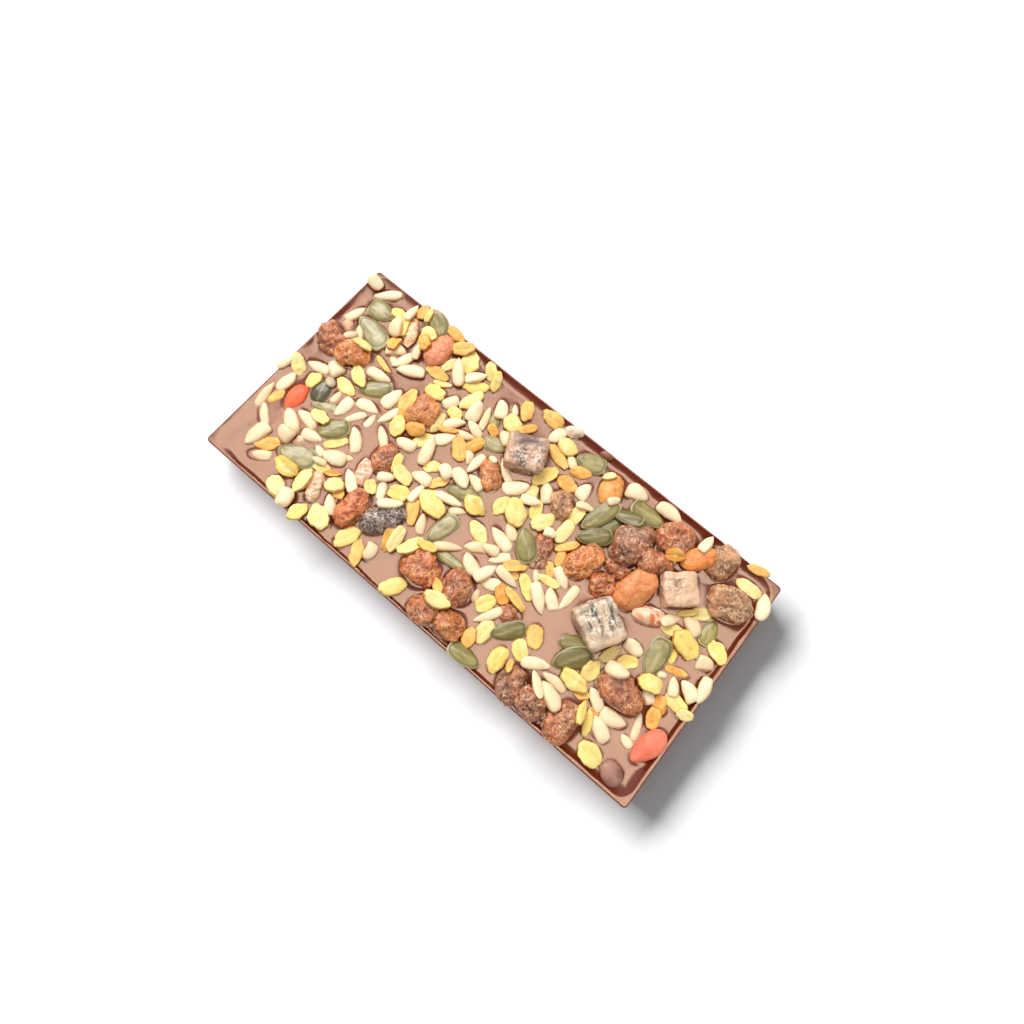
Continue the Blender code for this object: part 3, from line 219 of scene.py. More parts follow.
RAISINS = [
    (-74.7, 10.8, -15, 11.7, 9.3, 0), (-65.9, 11.0, 25, 10.6, 8.6, 0),
    (-36.4, 11.2, 80, 10.8, 9.5, 1), (-35.1, -8.2, 95, 10.4, 7.1, 0),
    (-7.2, 8.8, 130, 10.2, 6.7, 0), (-32.0, -25.6, 93, 13.0, 8.9, 0),
    (-23.0, -21.9, 58, 14.0, 8.6, 0), (-4.7, -25.6, 165, 11.9, 10.8, 0),
    (7.4, -22.9, 125, 10.8, 9.7, 0), (4.0, -34.2, 170, 9.7, 9.1, 0), (12.4, -32.4, 20, 9.5, 8.9, 0),
    (24.0, -18.9, 0, 6.7, 5.4, 0), (36.8, -33.6, 120, 11.2, 9.3, 0),
    (44.0, -34.2, 170, 9.3, 8.0, 0), (53.4, -32.1, 82, 13.0, 9.1, 0),
    (61.0, -15.4, 0, 15.1, 9.7, 0), (14.9, 15.9, 135, 9.3, 7.1, 0), (38.4, 20.4, 80, 14.5, 11.7, 0),
    (47.0, 19.9, 30, 11.2, 8.0, 0), (39.3, 11.3, 5, 8.2, 4.8, 0), (38.6, 4.9, 40, 8.4, 7.6, 0),
    (30.5, 7.0, 72, 13.6, 8.9, 0), (47.7, 29.7, 15, 11.7, 10.6, 0), (62.3, 33.0, 85, 11.4, 8.6, 0),
    (70.9, 24.5, 15, 13.4, 11.0, 0), (18.6, 2.8, 120, 8.2, 5.2, 0), (20.4, -2.2, 80, 5.2, 4.3, 0),
]

APRICOT_PIECES = [
    (-46.0, 30.2, 85, 12.6, 8.6, 0), (23.8, 29.2, 105, 11.0, 7.6, 0),
    (56.3, 29.5, 55, 11.0, 6.8, 0), (47.0, 10.2, 78, 14.9, 9.7, 0),
]

GOJI_BERRIES = [(-69.1, -11.2, 272, 10.0, 6.3, 0), (75.6, -21.8, 256, 12.2, 6.8, 0)]

FRUIT_SHREDS = [
    (-57.3, 28.8, 118, 11.0, 4.8, 1), (-44.9, -27.9, 115, 9.8, 5.4, 0),
    (-36.9, -15.1, 115, 9.0, 5.2, 0), (54.8, 6.8, 26, 10.4, 5.8, 0),
]

CANDIED_CUBES = [
    (57.0, 18.3, 40, 10.4, 10.0, 0), (45.0, -4.4, -28, 13.0, 12.0, 0),
    (-3.2, 21.3, 25, 12.4, 11.0, 0),
]

# Each cube's height, and how many degrees it leans along its length.
CUBE_HEIGHTS = (7.5 * MM, 8.5 * MM, 8.0 * MM)
CUBE_LEANS = (0.0, 9.0, -4.0)

# The poured chocolate's grid: its step at the edge, what each next step adds, and the step inside.
# Then the number of rings on its walls and round its base, and the angle of a sharp edge.
EDGE_STEP = 0.06 * MM
STEP_GROWTH = 0.012 * MM
INNER_STEP = 0.45 * MM
WALL_RINGS = 7
BASE_RINGS = 5
SHARP_ANGLE = math.radians(50)

# How it creeps up what is set into it: its reach and how far it goes under, as shares of the
# piece's thickness, and its steepness. It follows a rounded outline, squarer round a cube.
# The same nearness sets where the red-brown painted shade lies round each piece.
CREEP_REACH = 0.14
CREEP_UNDER = 0.05
CREEP_STEEPNESS = 0.8
ROUND_OUTLINE = 2.2
SQUARE_OUTLINE = 5.0

# How the rim changes along the bar. Each spot has its x and y, the rim's width there, its inner
# bank's width and the bank's depth, in millimetres, and counts for places within SPOT_REACH or so.
# The bank falls by BANK_POWER. Its painted shade is dark where it is narrower than STEEP_BANK,
# from a twelfth of its width on.
RIM_SPOTS = np.array([
    (-80, -36, 1.4, 6.0, 0.2), (-80, -24, 1.2, 6.0, 0.6), (-80, -8, 0.8, 4.6, 1.2),
    (-80, 14, 0.4, 3.6, 1.8), (-80, 38, 0.4, 4.0, 1.5), (-40, 38, -0.1, 3.6, 2.2),
    (0, 38, -0.1, 3.4, 2.2), (45, 38, 0.0, 3.2, 2.2), (66, 38, 0.3, 3.2, 2.0),
    (79, 37, 1.5, 3.4, 1.3), (80, 20, 1.4, 1.0, 1.5), (80, -18, 1.3, 0.7, 1.9),
    (79, -36, 1.1, 4.8, 2.1), (66, -38, 1.1, 2.6, 2.0), (45, -38, 1.0, 0.8, 2.0),
    (0, -38, 0.9, 0.6, 2.0), (-50, -38, 0.9, 0.6, 1.9), (-68, -38, 1.0, 0.7, 1.2),
    (-77, -38, 1.1, 1.0, 0.2),
]) * MM
SPOT_REACH = 3.5 * MM
STEEP_BANK = 5.6 * MM
BANK_POWER = 1.8
BANK_ONSET = 12

# How uneven it is: the size of the noise and how far it moves the dish's edge, the rim and, in
# two ways, the dish's floor.
EDGE_WANDER = (7.0 * MM, 0.22 * MM)
RIM_WAVES = (4.5 * MM, 0.12 * MM)
FLOOR_WAVES = (13.0 * MM, 0.16 * MM)
FLOOR_RIPPLES = (2.5 * MM, 0.03 * MM)

# How far the poured slab reaches past the solid's outline along X and Y, and how far inside the
# outline that starts and is complete.
OUTLINE_GROWTH = (0.45 * MM, 0.3 * MM)
GROWTH_START = 12.0 * MM
GROWTH_END = 3.0 * MM

# How square a cube is: the power of its formula.
CUBE_POWER = 9.0

# Where each cube is hollowed and where it is smooth: middle and reach in shares of its half sizes,
# then strength.
CUBE_HOLLOWS = ((-0.5, 0.5, 1.2, 0.7), (-0.3, 0.1, 1.3, 1.0), (0.35, -0.3, 1.3, 1.0))
CUBE_FACETS = ((0.6, -0.6, 0.9, 0.5), (0.8, 0.1, 0.7, 0.8), (-0.05, 0.8, 0.9, 1.0))

# How lumpy each crumb is. The last is a seed coated with chocolate, nearly smooth.
CRUMB_LUMPS = np.array([0.12] * (len(FRUIT_CRUMBS) - 1) + [0.03])

# Seeds of each kind's random draws.
KERNEL_SEED = 101
PALE_OAT_SEED = 102
TOASTED_OAT_SEED = 103
PUMPKIN_SEED = 104

# The green of each pumpkin seed, from 0 for dark olive past 0.65 for the usual to 1 for yellowish.
PUMPKIN_TONES = (
    0.72, 0.85, 0.78, 0.02, 0.6, 0.8, 0.65, 0.6, 0.85, 0.65, 0.85, 0.62, 0.85, 0.65,
    0.72, 0.66, 0.42, 0.68, 0.45, 0.45, 0.65, 0.55, 0.6, 0.95, 0.75, 0.55, 0.5,
)

# Thickness as a share of the width, depth sunk, and how domed the top is.
KERNEL_LIE = (0.62, 0.5 * MM, 0.8)
FLAKE_LIE = (0.48, 0.45 * MM, 0.7)
PUMPKIN_LIE = (0.4, 0.45 * MM, 0.5)
CRUMB_LIE = (0.6, 0.8 * MM, 0.5)

# No seed or flake is thinner than THINNEST. Fruit is domed by LUMP_DOME, a cube sinks by CUBE_SINK,
# and what would stand higher than HEAP_TOP is pressed down.
THINNEST = 1.5 * MM
LUMP_DOME = 0.9
CUBE_SINK = 1.2 * MM
HEAP_TOP = 13.4 * MM

# Each kind of fruit: its rows, its thickness as a share of its width, and the depth sunk. Then
# each small kind: its rows and how it lies.
FRUIT = {
    "raisin": (RAISINS, 0.7, 1.4 * MM),
    "apricot_piece": (APRICOT_PIECES, 0.6, 1.2 * MM),
    "goji_berry": (GOJI_BERRIES, 0.62, 1.0 * MM),
    "fruit_shred": (FRUIT_SHREDS, 0.62, 0.8 * MM),
}
SMALL = {
    "pumpkin_seed": (PUMPKIN, PUMPKIN_LIE),
    "oat_flake": (OATS, FLAKE_LIE),
    "toasted_oat_flake": (TOASTED_OATS, FLAKE_LIE),
    "sunflower_kernel": (SUNFLOWER, KERNEL_LIE),
    "fruit_crumb": (FRUIT_CRUMBS, CRUMB_LIE),
}

# Each fruit's body: how far its tip is drawn in, how deep its dents are, and its rings and sides.
RAISIN_BODY = (0.0, 0.2, 56, 84)
APRICOT_BODY = (0.0, 0.1, 60, 84)
GOJI_BODY = (0.35, 0.12, 60, 84)
SHRED_BODY = (0.1, 0.1, 60, 84)

# The rings and sides of the other shells.
KERNEL_GRID = (22, 18)
FLAKE_GRID = (24, 28)
PUMPKIN_GRID = (34, 36)
CRUMB_GRID = (30, 36)
CUBE_GRID = (110, 150)

# What the noise is made of: seeded slopes, numbers that scatter places and seeds over them, and
# the factor that brings it to about -1 to 1. Pieces read it OWN_STEP times their middle apart.
SLOPES = np.random.default_rng(7).normal(size=(256, 3))
SLOPES /= np.linalg.norm(SLOPES, axis=1, keepdims=True)
PLACE_SCATTER = np.array([73856093, 19349663, 83492791])
SEED_SCATTER = 668265263
NOISE_REACH = 1.7
OWN_STEP = 37.0


def smooth_noise(places, seed=0):
    """Noise of about -1 to 1, changing over one unit.

    Each whole-number place has a slope from the seeded list. A point takes the value that the
    eight slopes round it give it, each weighted by a quintic ease of its nearness. Each use has
    a seed of its own, so that no two patterns agree.
    """
    places = np.asarray(places)
    cell = np.floor(places).astype(np.int64)
    part = places - cell
    eased = part**3 * (part * (part * 6 - 15) + 10)
    total = np.zeros(places.shape[:-1])
    for corner in np.ndindex(2, 2, 2):
        place = cell + np.array(corner)
        key = np.bitwise_xor.reduce(place * PLACE_SCATTER, axis=-1)
        slope = SLOPES[(key ^ (key >> 9) ^ seed * SEED_SCATTER) % len(SLOPES)]
        weight = np.where(corner, eased, 1 - eased).prod(axis=-1)
        total += weight * (slope * (part - np.array(corner))).sum(axis=-1)
    return NOISE_REACH * total


def layered_noise(places, size, layers, seed=0):
    """Smooth noise in layers, each half the size and half the strength of the one before."""
    total = 0.0
    for layer in range(layers):
        total = total + smooth_noise(places * 2**layer / size, seed + layer) / 2**layer
    return total


def web_noise(places, size, thin, seed=0):
    """Thin lines where smooth noise crosses nought: 1 on a line, falling to 0 beside it."""
    return np.exp(-((smooth_noise(places / size, seed) / thin) ** 2))


class Heap:
    """The height of all that has been laid so far, on a grid over the bar."""

    def __init__(self):
        reach_x = LENGTH / 2 + HEAP_MARGIN
        reach_y = WIDTH / 2 + HEAP_MARGIN
        self.x, self.y = np.meshgrid(
            np.arange(-reach_x, reach_x, CELL), np.arange(-reach_y, reach_y, CELL), indexing="ij"
        )
        edge = np.minimum(LENGTH / 2 - np.abs(self.x), WIDTH / 2 - np.abs(self.y))
        slope = np.clip((edge - RIM_WIDTH) / RIM_SLOPE, 0, 1)
        self.height = THICKNESS - slope * DISH_DEPTH

    def lay(self, row, thickness, sink, dome):
        """Rest one piece on the heap, and return its middle and its three axes as a matrix.

        The ground under its oval is taken as a sloping plane, no steeper than STEEPEST. The
        piece lies on the plane, raised until REST_SHARE of the ground is below it, and less
        its sink. That is done twice, because its place depends on its height. Then its own
        domed top becomes part of the ground.
        """
        seen_x, seen_y, turn, length, width, _ = row
        length = length * MM
        width = width * MM
        place = np.array([seen_x, seen_y]) * MM
        along = np.array([math.cos(math.radians(turn)), math.sin(math.radians(turn))])
        across = np.array([-along[1], along[0]])
        level = FLOOR + thickness / 2
        for _ in range(2):
            spot = place + (EYE[:2] - place) * (level - THICKNESS) / EYE[2]
            u = (self.x - spot[0]) * along[0] + (self.y - spot[1]) * along[1]
            v = (self.x - spot[0]) * across[0] + (self.y - spot[1]) * across[1]
            radius = (2 * u / length) ** 2 + (2 * v / width) ** 2
            under = radius < 1
            ground = self.height[under]
            plane = np.stack([np.ones(len(ground)), u[under], v[under]], axis=1)
            fit = np.linalg.lstsq(plane, ground, rcond=None)[0]
            slopes = np.clip(fit[1:], -STEEPEST, STEEPEST)
            rest = ground - plane[:, 1:] @ slopes
            base = np.quantile(rest, REST_SHARE) - sink
            level = base + thickness / 2
        bulge = np.sqrt(np.clip(1 - radius, 0, 1))
        top = level + u * slopes[0] + v * slopes[1] + thickness / 2 * (1 - dome + dome * bulge)
        self.height = np.where(under, np.maximum(self.height, top), self.height)
        forward = np.array([along[0], along[1], slopes[0]])
        forward /= np.linalg.norm(forward)
        upward = np.cross(forward, [across[0], across[1], slopes[1]])
        upward /= np.linalg.norm(upward)
        axes = np.stack([forward, np.cross(upward, forward), upward], axis=1)
        return np.array([spot[0], spot[1], level]), axes


def pieces_to_lay():
    """Every piece's kind, number, row, thickness, sink and dome, in the order of laying."""
    for kind, (rows, share, sink) in FRUIT.items():
        for number, row in enumerate(rows):
            yield kind, number, row, share * row[ROW_WIDTH] * MM, sink, LUMP_DOME
    for number, row in enumerate(CANDIED_CUBES):
        yield "candied_cube", number, row, CUBE_HEIGHTS[number], CUBE_SINK, 0.0
    for kind, (rows, (share, sink, dome)) in SMALL.items():
        for number, row in enumerate(rows):
            yield kind, number, row, max(share * row[ROW_WIDTH] * MM, THINNEST), sink, dome


@functools.lru_cache(maxsize=1)
def laid_pieces():
    """Lay the whole heap, layer by layer. The result names each kind and lists its pieces.

    A piece is a dict of its row, its sizes, its middle, its axes and its layer.
    """
    heap = Heap()
    laid = {kind: {} for kind in [*FRUIT, "candied_cube", *SMALL]}
    by_layer = sorted(pieces_to_lay(), key=lambda piece: piece[2][ROW_LAYER])
    for kind, number, row, thickness, sink, dome in by_layer:
        middle, axes = heap.lay(row, thickness, sink, dome)
        laid[kind][number] = {
            "row": row, "sizes": np.array([row[ROW_LENGTH] * MM, row[ROW_WIDTH] * MM, thickness]),
            "middle": middle, "axes": axes, "layer": row[ROW_LAYER],
        }
    return {kind: [pieces[number] for number in sorted(pieces)] for kind, pieces in laid.items()}


def gathered(pieces, key):
    """One value of each piece as an array, its first axis the pieces."""
    return np.array([piece[key] for piece in pieces])


def sizes_of(pieces):
    """Length, width and thickness of the pieces, ready to spread over their grids."""
    sizes = gathered(pieces, "sizes")[:, :, None, None]
    return sizes[:, 0], sizes[:, 1], sizes[:, 2]


def draws(rng, pieces, low, high):
    """One even random draw for each piece, ready to spread over its grid."""
    return rng.uniform(low, high, len(pieces))[:, None, None]


def shell_grid(rings, sides):
    """The two parameters of a shell: its share of the way along, -1 to 1, and the angle round.

    The shares are closer together at the ends, as minus the cosine of an even angle.
    """
    share = -np.cos(np.pi * np.arange(rings + 2) / (rings + 1))
    angle = 2 * np.pi * np.arange(sides) / sides
    return share[None, :, None], angle[None, None, :]


def joined(x, y, z):
    """Points from their three coordinates, each spread over the whole grid."""
    return np.stack(np.broadcast_arrays(x, y, z), axis=-1)


def set_down(pieces, local):
    """Turn points from each piece's own axes into the bar's, and move them to its middle."""
    axes = gathered(pieces, "axes")
    middle = gathered(pieces, "middle")
    return np.einsum("nij,nrsj->nrsi", axes, local) + middle[:, None, None, :]


def own_places(pieces, local):
    """The points of each piece shifted by a far step of its own, so that no two share a pattern."""
    return local + gathered(pieces, "middle")[:, None, None, :] * OWN_STEP


def pushes(places, size, seed):
    """Three noises of one size, seeded in a row, as arrows that push places about."""
    return np.stack([smooth_noise(places / size, seed + n) for n in range(3)], axis=-1)


def shell_mesh(name, points, values):
    """One mesh of closed shells, from points of (pieces, rings + 2, sides, 3).

    The first and last ring of a shell are each drawn in to one point. Its rings are joined by
    four-sided faces and its ends by fans. Values of (pieces, rings + 2, sides) become float
    attributes of the points.
    """
    count, rows, sides, _ = points.shape
    rings = rows - 2

    def flat(grid):
        """A grid's values in the order of the points: one end, the rings and the other end."""
        body = grid[:, 1:-1].reshape(count, rings * sides, -1)
        return np.concatenate([grid[:, :1, 0].reshape(count, 1, -1), body,
                               grid[:, -1:, 0].reshape(count, 1, -1)], axis=1)

    side = np.arange(sides)
    after = (side + 1) % sides
    ring = (1 + np.arange(rings - 1) * sides)[:, None]
    quads = np.stack([ring + side, ring + after, ring + sides + after, ring + sides + side], -1)
    last = rings * sides + 1
    start = np.stack([np.zeros(sides, int), 1 + after, 1 + side], -1)
    end = np.stack([np.full(sides, last), last - sides + side, last - sides + after], -1)
    fans = np.concatenate([start, end])
    base = (np.arange(count) * (last + 1))[:, None, None]
    quads = (base + quads.reshape(1, -1, 4)).reshape(-1, 4)
    fans = (base + fans[None]).reshape(-1, 3)
    verts = flat(points).reshape(-1, 3)
    mesh = bpy.data.meshes.new(name)
    mesh.from_pydata(verts.tolist(), [], quads.tolist() + fans.tolist())
    for value_name, grid in values.items():
        add_values(mesh, value_name, flat(np.broadcast_to(grid, points.shape[:3])))
    mesh.shade_smooth()
    return mesh


def add_values(mesh, name, values):
    """Give each point of a mesh one number under a name."""
    made = mesh.attributes.new(name, "FLOAT", "POINT")
    made.data.foreach_set("value", np.ascontiguousarray(values, np.float32).ravel())


def put_piece(name, mesh, recipe, nodes):
    """Make a piece of a mesh, with its material, in the place of its nodes of the frame."""
    piece = bpy.data.objects.new(name, mesh)
    bpy.context.scene.collection.objects.link(piece)
    mesh.materials.append(recipe)
    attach(piece, BODY)
    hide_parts(*nodes)
    return piece


def kernel_shapes(pieces, rng):
    """Shelled sunflower kernels.

    Half the width is (1 - share squared) raised to a power that grows towards the tip, times a
    taper. Half the thickness follows a like rule with less taper, and stays nearly flat between
    the sides. Wide kernels are broken ones, so they taper less. A bend moves the middle line
    by the square of the share, and layered noise dents the sides.
    """
    length, width, thick = sizes_of(pieces)
    share, angle = shell_grid(*KERNEL_GRID)
    chunky = np.clip((width / length - 0.48) / 0.3, 0, 1)
    taper = draws(rng, pieces, 0.2, 0.38) * (1 - chunky)
    taper = taper + draws(rng, pieces, -0.1, 0.4) * chunky
    power = 0.56 - 0.32 * chunky + draws(rng, pieces, -0.05, 0.05)
    power = power + draws(rng, pieces, 0.12, 0.3) * share * (1 - 0.8 * chunky)
    round_off = np.clip(1 - share**2, 0, 1)
    outline = round_off**power * (1 - taper * share) * 1.04
    depth = round_off**0.42 * (1 - 0.5 * taper * share)
    cosine = np.cos(angle)
    sine = np.sin(angle)
    bulge = np.sign(sine) * np.abs(sine) ** draws(rng, pieces, 0.6, 0.95)
    local = joined(
        length / 2 * share,
        width / 2 * outline * cosine,
        thick / 2 * depth * bulge,
    )
    dent = layered_noise(own_places(pieces, local), 2.8 * MM, 2, 11)
    flute = 0.04 * np.cos(3 * angle + draws(rng, pieces, 0, 6.3))
    local[..., 1:] *= (1 + 0.09 * dent + flute)[..., None]
    bow = share**2 - 0.35
    local[..., 1] += width * draws(rng, pieces, -0.14, 0.14) * bow
    local[..., 2] += thick * draws(rng, pieces, -0.12, 0.2) * bow
    # How near the outline a point is, where painted shade darkens the sides.
    edge = np.clip(np.abs(cosine) * outline, 0, 1) ** 3
    values = {"edge": edge, "tone": draws(rng, pieces, 0, 1), "share": share}
    return set_down(pieces, local), values


def flake_shapes(pieces, rng, crease_depth):
    """Rolled oat flakes.

    The outline is an oval with a noisy edge. The thickness is that of an ellipsoid raised to a
    low power, so the flake is flat with a round edge. A wavy crease runs along the top, its
    depth a bell curve of the distance from it, and the flake curls as a saddle or a dish.
    """
    length, width, thick = sizes_of(pieces)
    share, angle = shell_grid(*FLAKE_GRID)
    cosine = np.cos(angle)
    sine = np.sin(angle)
    round_off = np.clip(1 - share**2, 0, 1)
    outline = round_off ** (0.46 + draws(rng, pieces, -0.05, 0.06))
    across = outline * cosine
    rim_place = joined(share * 1.3, across * 1.3, 0 * across)
    ragged = layered_noise(own_places(pieces, rim_place), 0.9, 3, 5)
    reach = 1 + 0.15 * ragged * (share**2 + across**2)
    skew = draws(rng, pieces, -0.12, 0.12)
    body = (round_off * sine**2) ** 0.22 * np.sign(sine)
    wander = 0.16 * np.sin(2.3 * share + draws(rng, pieces, 0, 6.3))
    wander = wander + draws(rng, pieces, -0.12, 0.12)
    crease = np.exp(-(((across - wander) / 0.075) ** 2)) * np.clip(1 - share**4, 0, 1)
    crease = crease * np.clip(sine * 3, 0, 1)
    local = joined(
        length / 2 * share * reach,
        width / 2 * (across * reach + skew * share),
        thick / 2 * body * 0.95,
    )
    deep = crease_depth * draws(rng, pieces, 0.1, 0.7)
    local[..., 2] -= thick * deep * crease
    lumps = layered_noise(own_places(pieces, local), 2.6 * MM, 3, 21)
    local[..., 2] += 0.2 * MM * lumps * np.clip(np.abs(sine) * 4, 0, 1)
    curl = draws(rng, pieces, -0.1, 0.16)
    bow = draws(rng, pieces, -0.12, 0.12)
    local[..., 2] += width * curl * (across**2 - 0.3) + width * bow * (share**2 - 0.3)
    # How near the rim a point is, where painted shade darkens it.
    edge = np.clip(share**2 + across**2, 0, 1) ** 2
    values = {
        "edge": edge, "tone": draws(rng, pieces, 0, 1), "crease": crease,
        "lumps": lumps * 0.5 + 0.5,
    }
    return set_down(pieces, local), values


def pumpkin_shapes(pieces, rng):
    """Shelled pumpkin seeds.

    The outline is a drop, widest past its middle. The faces are nearly flat, with a groove
    just inside the edge, which leaves a raised margin, and a few faint ridges lengthwise.
    """
    length, width, thick = sizes_of(pieces)
    share, angle = shell_grid(*PUMPKIN_GRID)
    cosine = np.cos(angle)
    sine = np.sin(angle)
    round_off = np.clip(1 - share**2, 0, 1)
    taper = draws(rng, pieces, 0.14, 0.24)
    outline = round_off ** (0.44 + 0.16 * share) * (1 - taper * share) * 1.03
    across = outline * cosine
    body = (round_off * sine**2) ** 0.3 * np.sign(sine)
    radius = np.sqrt(share**2 + (1 - share**2) * cosine**2)
    groove = np.exp(-(((radius - 0.86) / 0.05) ** 2))
    ridge = np.cos(across * 10 + 2 * share + draws(rng, pieces, 0, 6.3)) * (1 - radius**4)
    spine = np.exp(-(((across - 0.2 * np.sin(2 * share)) / 0.1) ** 2)) * (1 - radius**4)
    local = joined(
        length / 2 * share * 1.02,
        width / 2 * across * 1.02,
        thick / 2 * body * 0.95,
    )
    relief = 0.03 * ridge - 0.1 * groove + 0.05 * spine
    local[..., 2] += MM * relief * np.sign(sine) * np.clip(np.abs(sine) * 4, 0, 1)
    local[..., 2] += 0.12 * MM * layered_noise(own_places(pieces, local), 4 * MM, 2, 31)
    bow = draws(rng, pieces, -0.08, 0.12)
    local[..., 2] += width * bow * (share**2 - 0.3)
    local[..., 1] += width * draws(rng, pieces, -0.06, 0.06) * (share**2 - 0.3)
    # The edge, groove and spine masks also place painted highlights and painted shade.
    edge = np.clip((radius - 0.9) / 0.1, 0, 1)
    values = {
        "edge": edge, "groove": groove, "spine": spine, "ridge": ridge * 0.5 + 0.5,
        "tone": np.array(PUMPKIN_TONES)[:, None, None],
    }
    return set_down(pieces, local), values


def lump_body(pieces, tip, dents, rings, sides):
    """The dented egg that a piece of fruit is: points on its own axes, its share and its angle.

    The radius of a ring is the root of (1 - share to the power 2.6), less a taper towards the
    tip and three shallow dents that run along it, as in the solid.
    """
    length, width, thick = sizes_of(pieces)
    share, angle = shell_grid(rings, sides)
    phase = np.array([piece["row"][ROW_X] + piece["row"][ROW_Y] for piece in pieces])
    phase = phase[:, None, None]
    radius = np.sqrt(np.clip(1 - np.abs(share) ** 2.6, 0, 1)) * (1 - tip * np.maximum(share, 0))
    dent = 1 - dents * (1 + np.cos(3 * angle + phase + 2.1 * share)) / 2
    local = joined(
        length / 2 * share,
        width / 2 * radius * dent * np.cos(angle),
        thick / 2 * radius * dent * np.sin(angle),
    )
    return local, share, angle


def swelled(local, rise):
    """Move the points of a lump away from its middle line, and less so along its length."""
    arrows = local * np.array([0.55, 1.0, 1.0])
    arrows /= np.maximum(np.linalg.norm(arrows, axis=-1, keepdims=True), 1e-9)
    return local + arrows * rise[..., None]


def raisin_shapes(pieces):
    """Raisins: a lump with folds drawn out along it, and crests of two sizes over them.

    The places that the crests read are first pushed about by slower noise, so that they wind
    and branch. A crest is 1 where noise crosses nought and falls off in a straight line beside
    it, so the skin sinks in smooth hollows between sharp crests. What would stand higher than
    HEAP_TOP keeps half of its height over it.
    """
    local, _, _ = lump_body(pieces, *RAISIN_BODY)
    places = own_places(pieces, local)
    wound = places + 1.2 * MM * pushes(places, 3.0 * MM, 41)
    drawn = wound * np.array([0.6, 1.0, 1.0])
    broad = np.clip(1 - 2.2 * np.abs(smooth_noise(drawn / (2.5 * MM), 44)), 0, 1)
    fine = np.clip(1 - 2.4 * np.abs(smooth_noise(wound / (1.1 * MM), 45)), 0, 1)
    fold = layered_noise(wound, 4.4 * MM, 2, 46)
    rise = MM * (0.36 * broad + 0.14 * fine * (0.4 + broad) + 0.7 * fold - 0.2)
    ridge = np.clip(0.5 * broad**2 + 0.3 * fine**3, 0, 1)
    hollow = np.clip(1 - 1.5 * broad - 0.6 * fine, 0, 1)
    # These masks give the skin its painted highlight on the crests and painted shade in the hollows
    # and folds.
    values = {"ridge": ridge, "crack": 0.32 * hollow, "fold": fold * 0.8 + 0.45}
    points = set_down(pieces, swelled(local, rise))
    points[..., 2] -= 0.5 * np.maximum(points[..., 2] - HEAP_TOP, 0)
    return points, values


def apricot_shapes(pieces):
    """Pieces of dried apricot: lumps with broad dents and a shallow grain."""
    local, _, _ = lump_body(pieces, *APRICOT_BODY)
    places = own_places(pieces, local)
    push = pushes(places, 4.0 * MM, 51)
    fold = layered_noise(places + 1.5 * MM * push, 5.0 * MM, 2, 54)
    grain = layered_noise(places, 1.1 * MM, 2, 55)
    crack = web_noise(places + 1.2 * MM * push, 4.2 * MM, 0.1, 56)
    rise = MM * (0.32 * fold + 0.1 * grain - 0.12 * crack)
    # The grain takes the skin's painted highlight, and the cracks and folds its painted shade.
    values = {"fold": fold * 0.35 + 0.6, "crack": crack * 0.25, "ridge": grain * 0.4}
    return set_down(pieces, swelled(local, rise)), values


def goji_shapes(pieces):
    """Goji berries: a drawn-out drop with a few smooth furrows that run along it and wind."""
    local, share, angle = lump_body(pieces, *GOJI_BODY)
    places = own_places(pieces, local)
    wind = 0.8 * smooth_noise(places / (5.0 * MM), 61)
    furrow = 0.5 + 0.5 * np.cos(6 * angle + 1.5 * share + 3 * wind)
    fold = layered_noise(places, 4.0 * MM, 2, 62)
    rise = MM * (0.16 * fold - 0.05 * furrow**3 * np.clip(1 - share**4, 0, 1))
    # The crack mask paints shade in the furrows.
    values = {"fold": fold * 0.3 + 0.6, "crack": 0.12 * furrow**3}
    return set_down(pieces, swelled(local, rise)), values


def shred_shapes(pieces):
    """Shreds of dried fruit: lumps pushed well out of shape, with torn webs on them."""
    local, _, _ = lump_body(pieces, *SHRED_BODY)
    places = own_places(pieces, local)
    push = pushes(places, 3.5 * MM, 71)
    fold = layered_noise(places + 1.2 * MM * push, 3.6 * MM, 3, 74)
    web = web_noise(places + 0.9 * MM * push, 2.0 * MM, 0.14, 75)
    rise = MM * (0.42 * fold + 0.1 * web)
    # The webs take the skin's painted highlight, and the folds its painted shade.
    values = {"fold": fold * 0.5 + 0.5, "ridge": web}
    return set_down(pieces, swelled(local, rise)), values


def cube_spot(places, spots):
    """How near each point is to its cube's spot: strength x (1 - distance / reach), eased."""
    spots = np.array(spots)[:, None, None, :]
    away = np.hypot(places[..., 0] - spots[..., 0], places[..., 1] - spots[..., 1])
    return ease(1.5 * (1 - away / spots[..., 2])) * spots[..., 3]


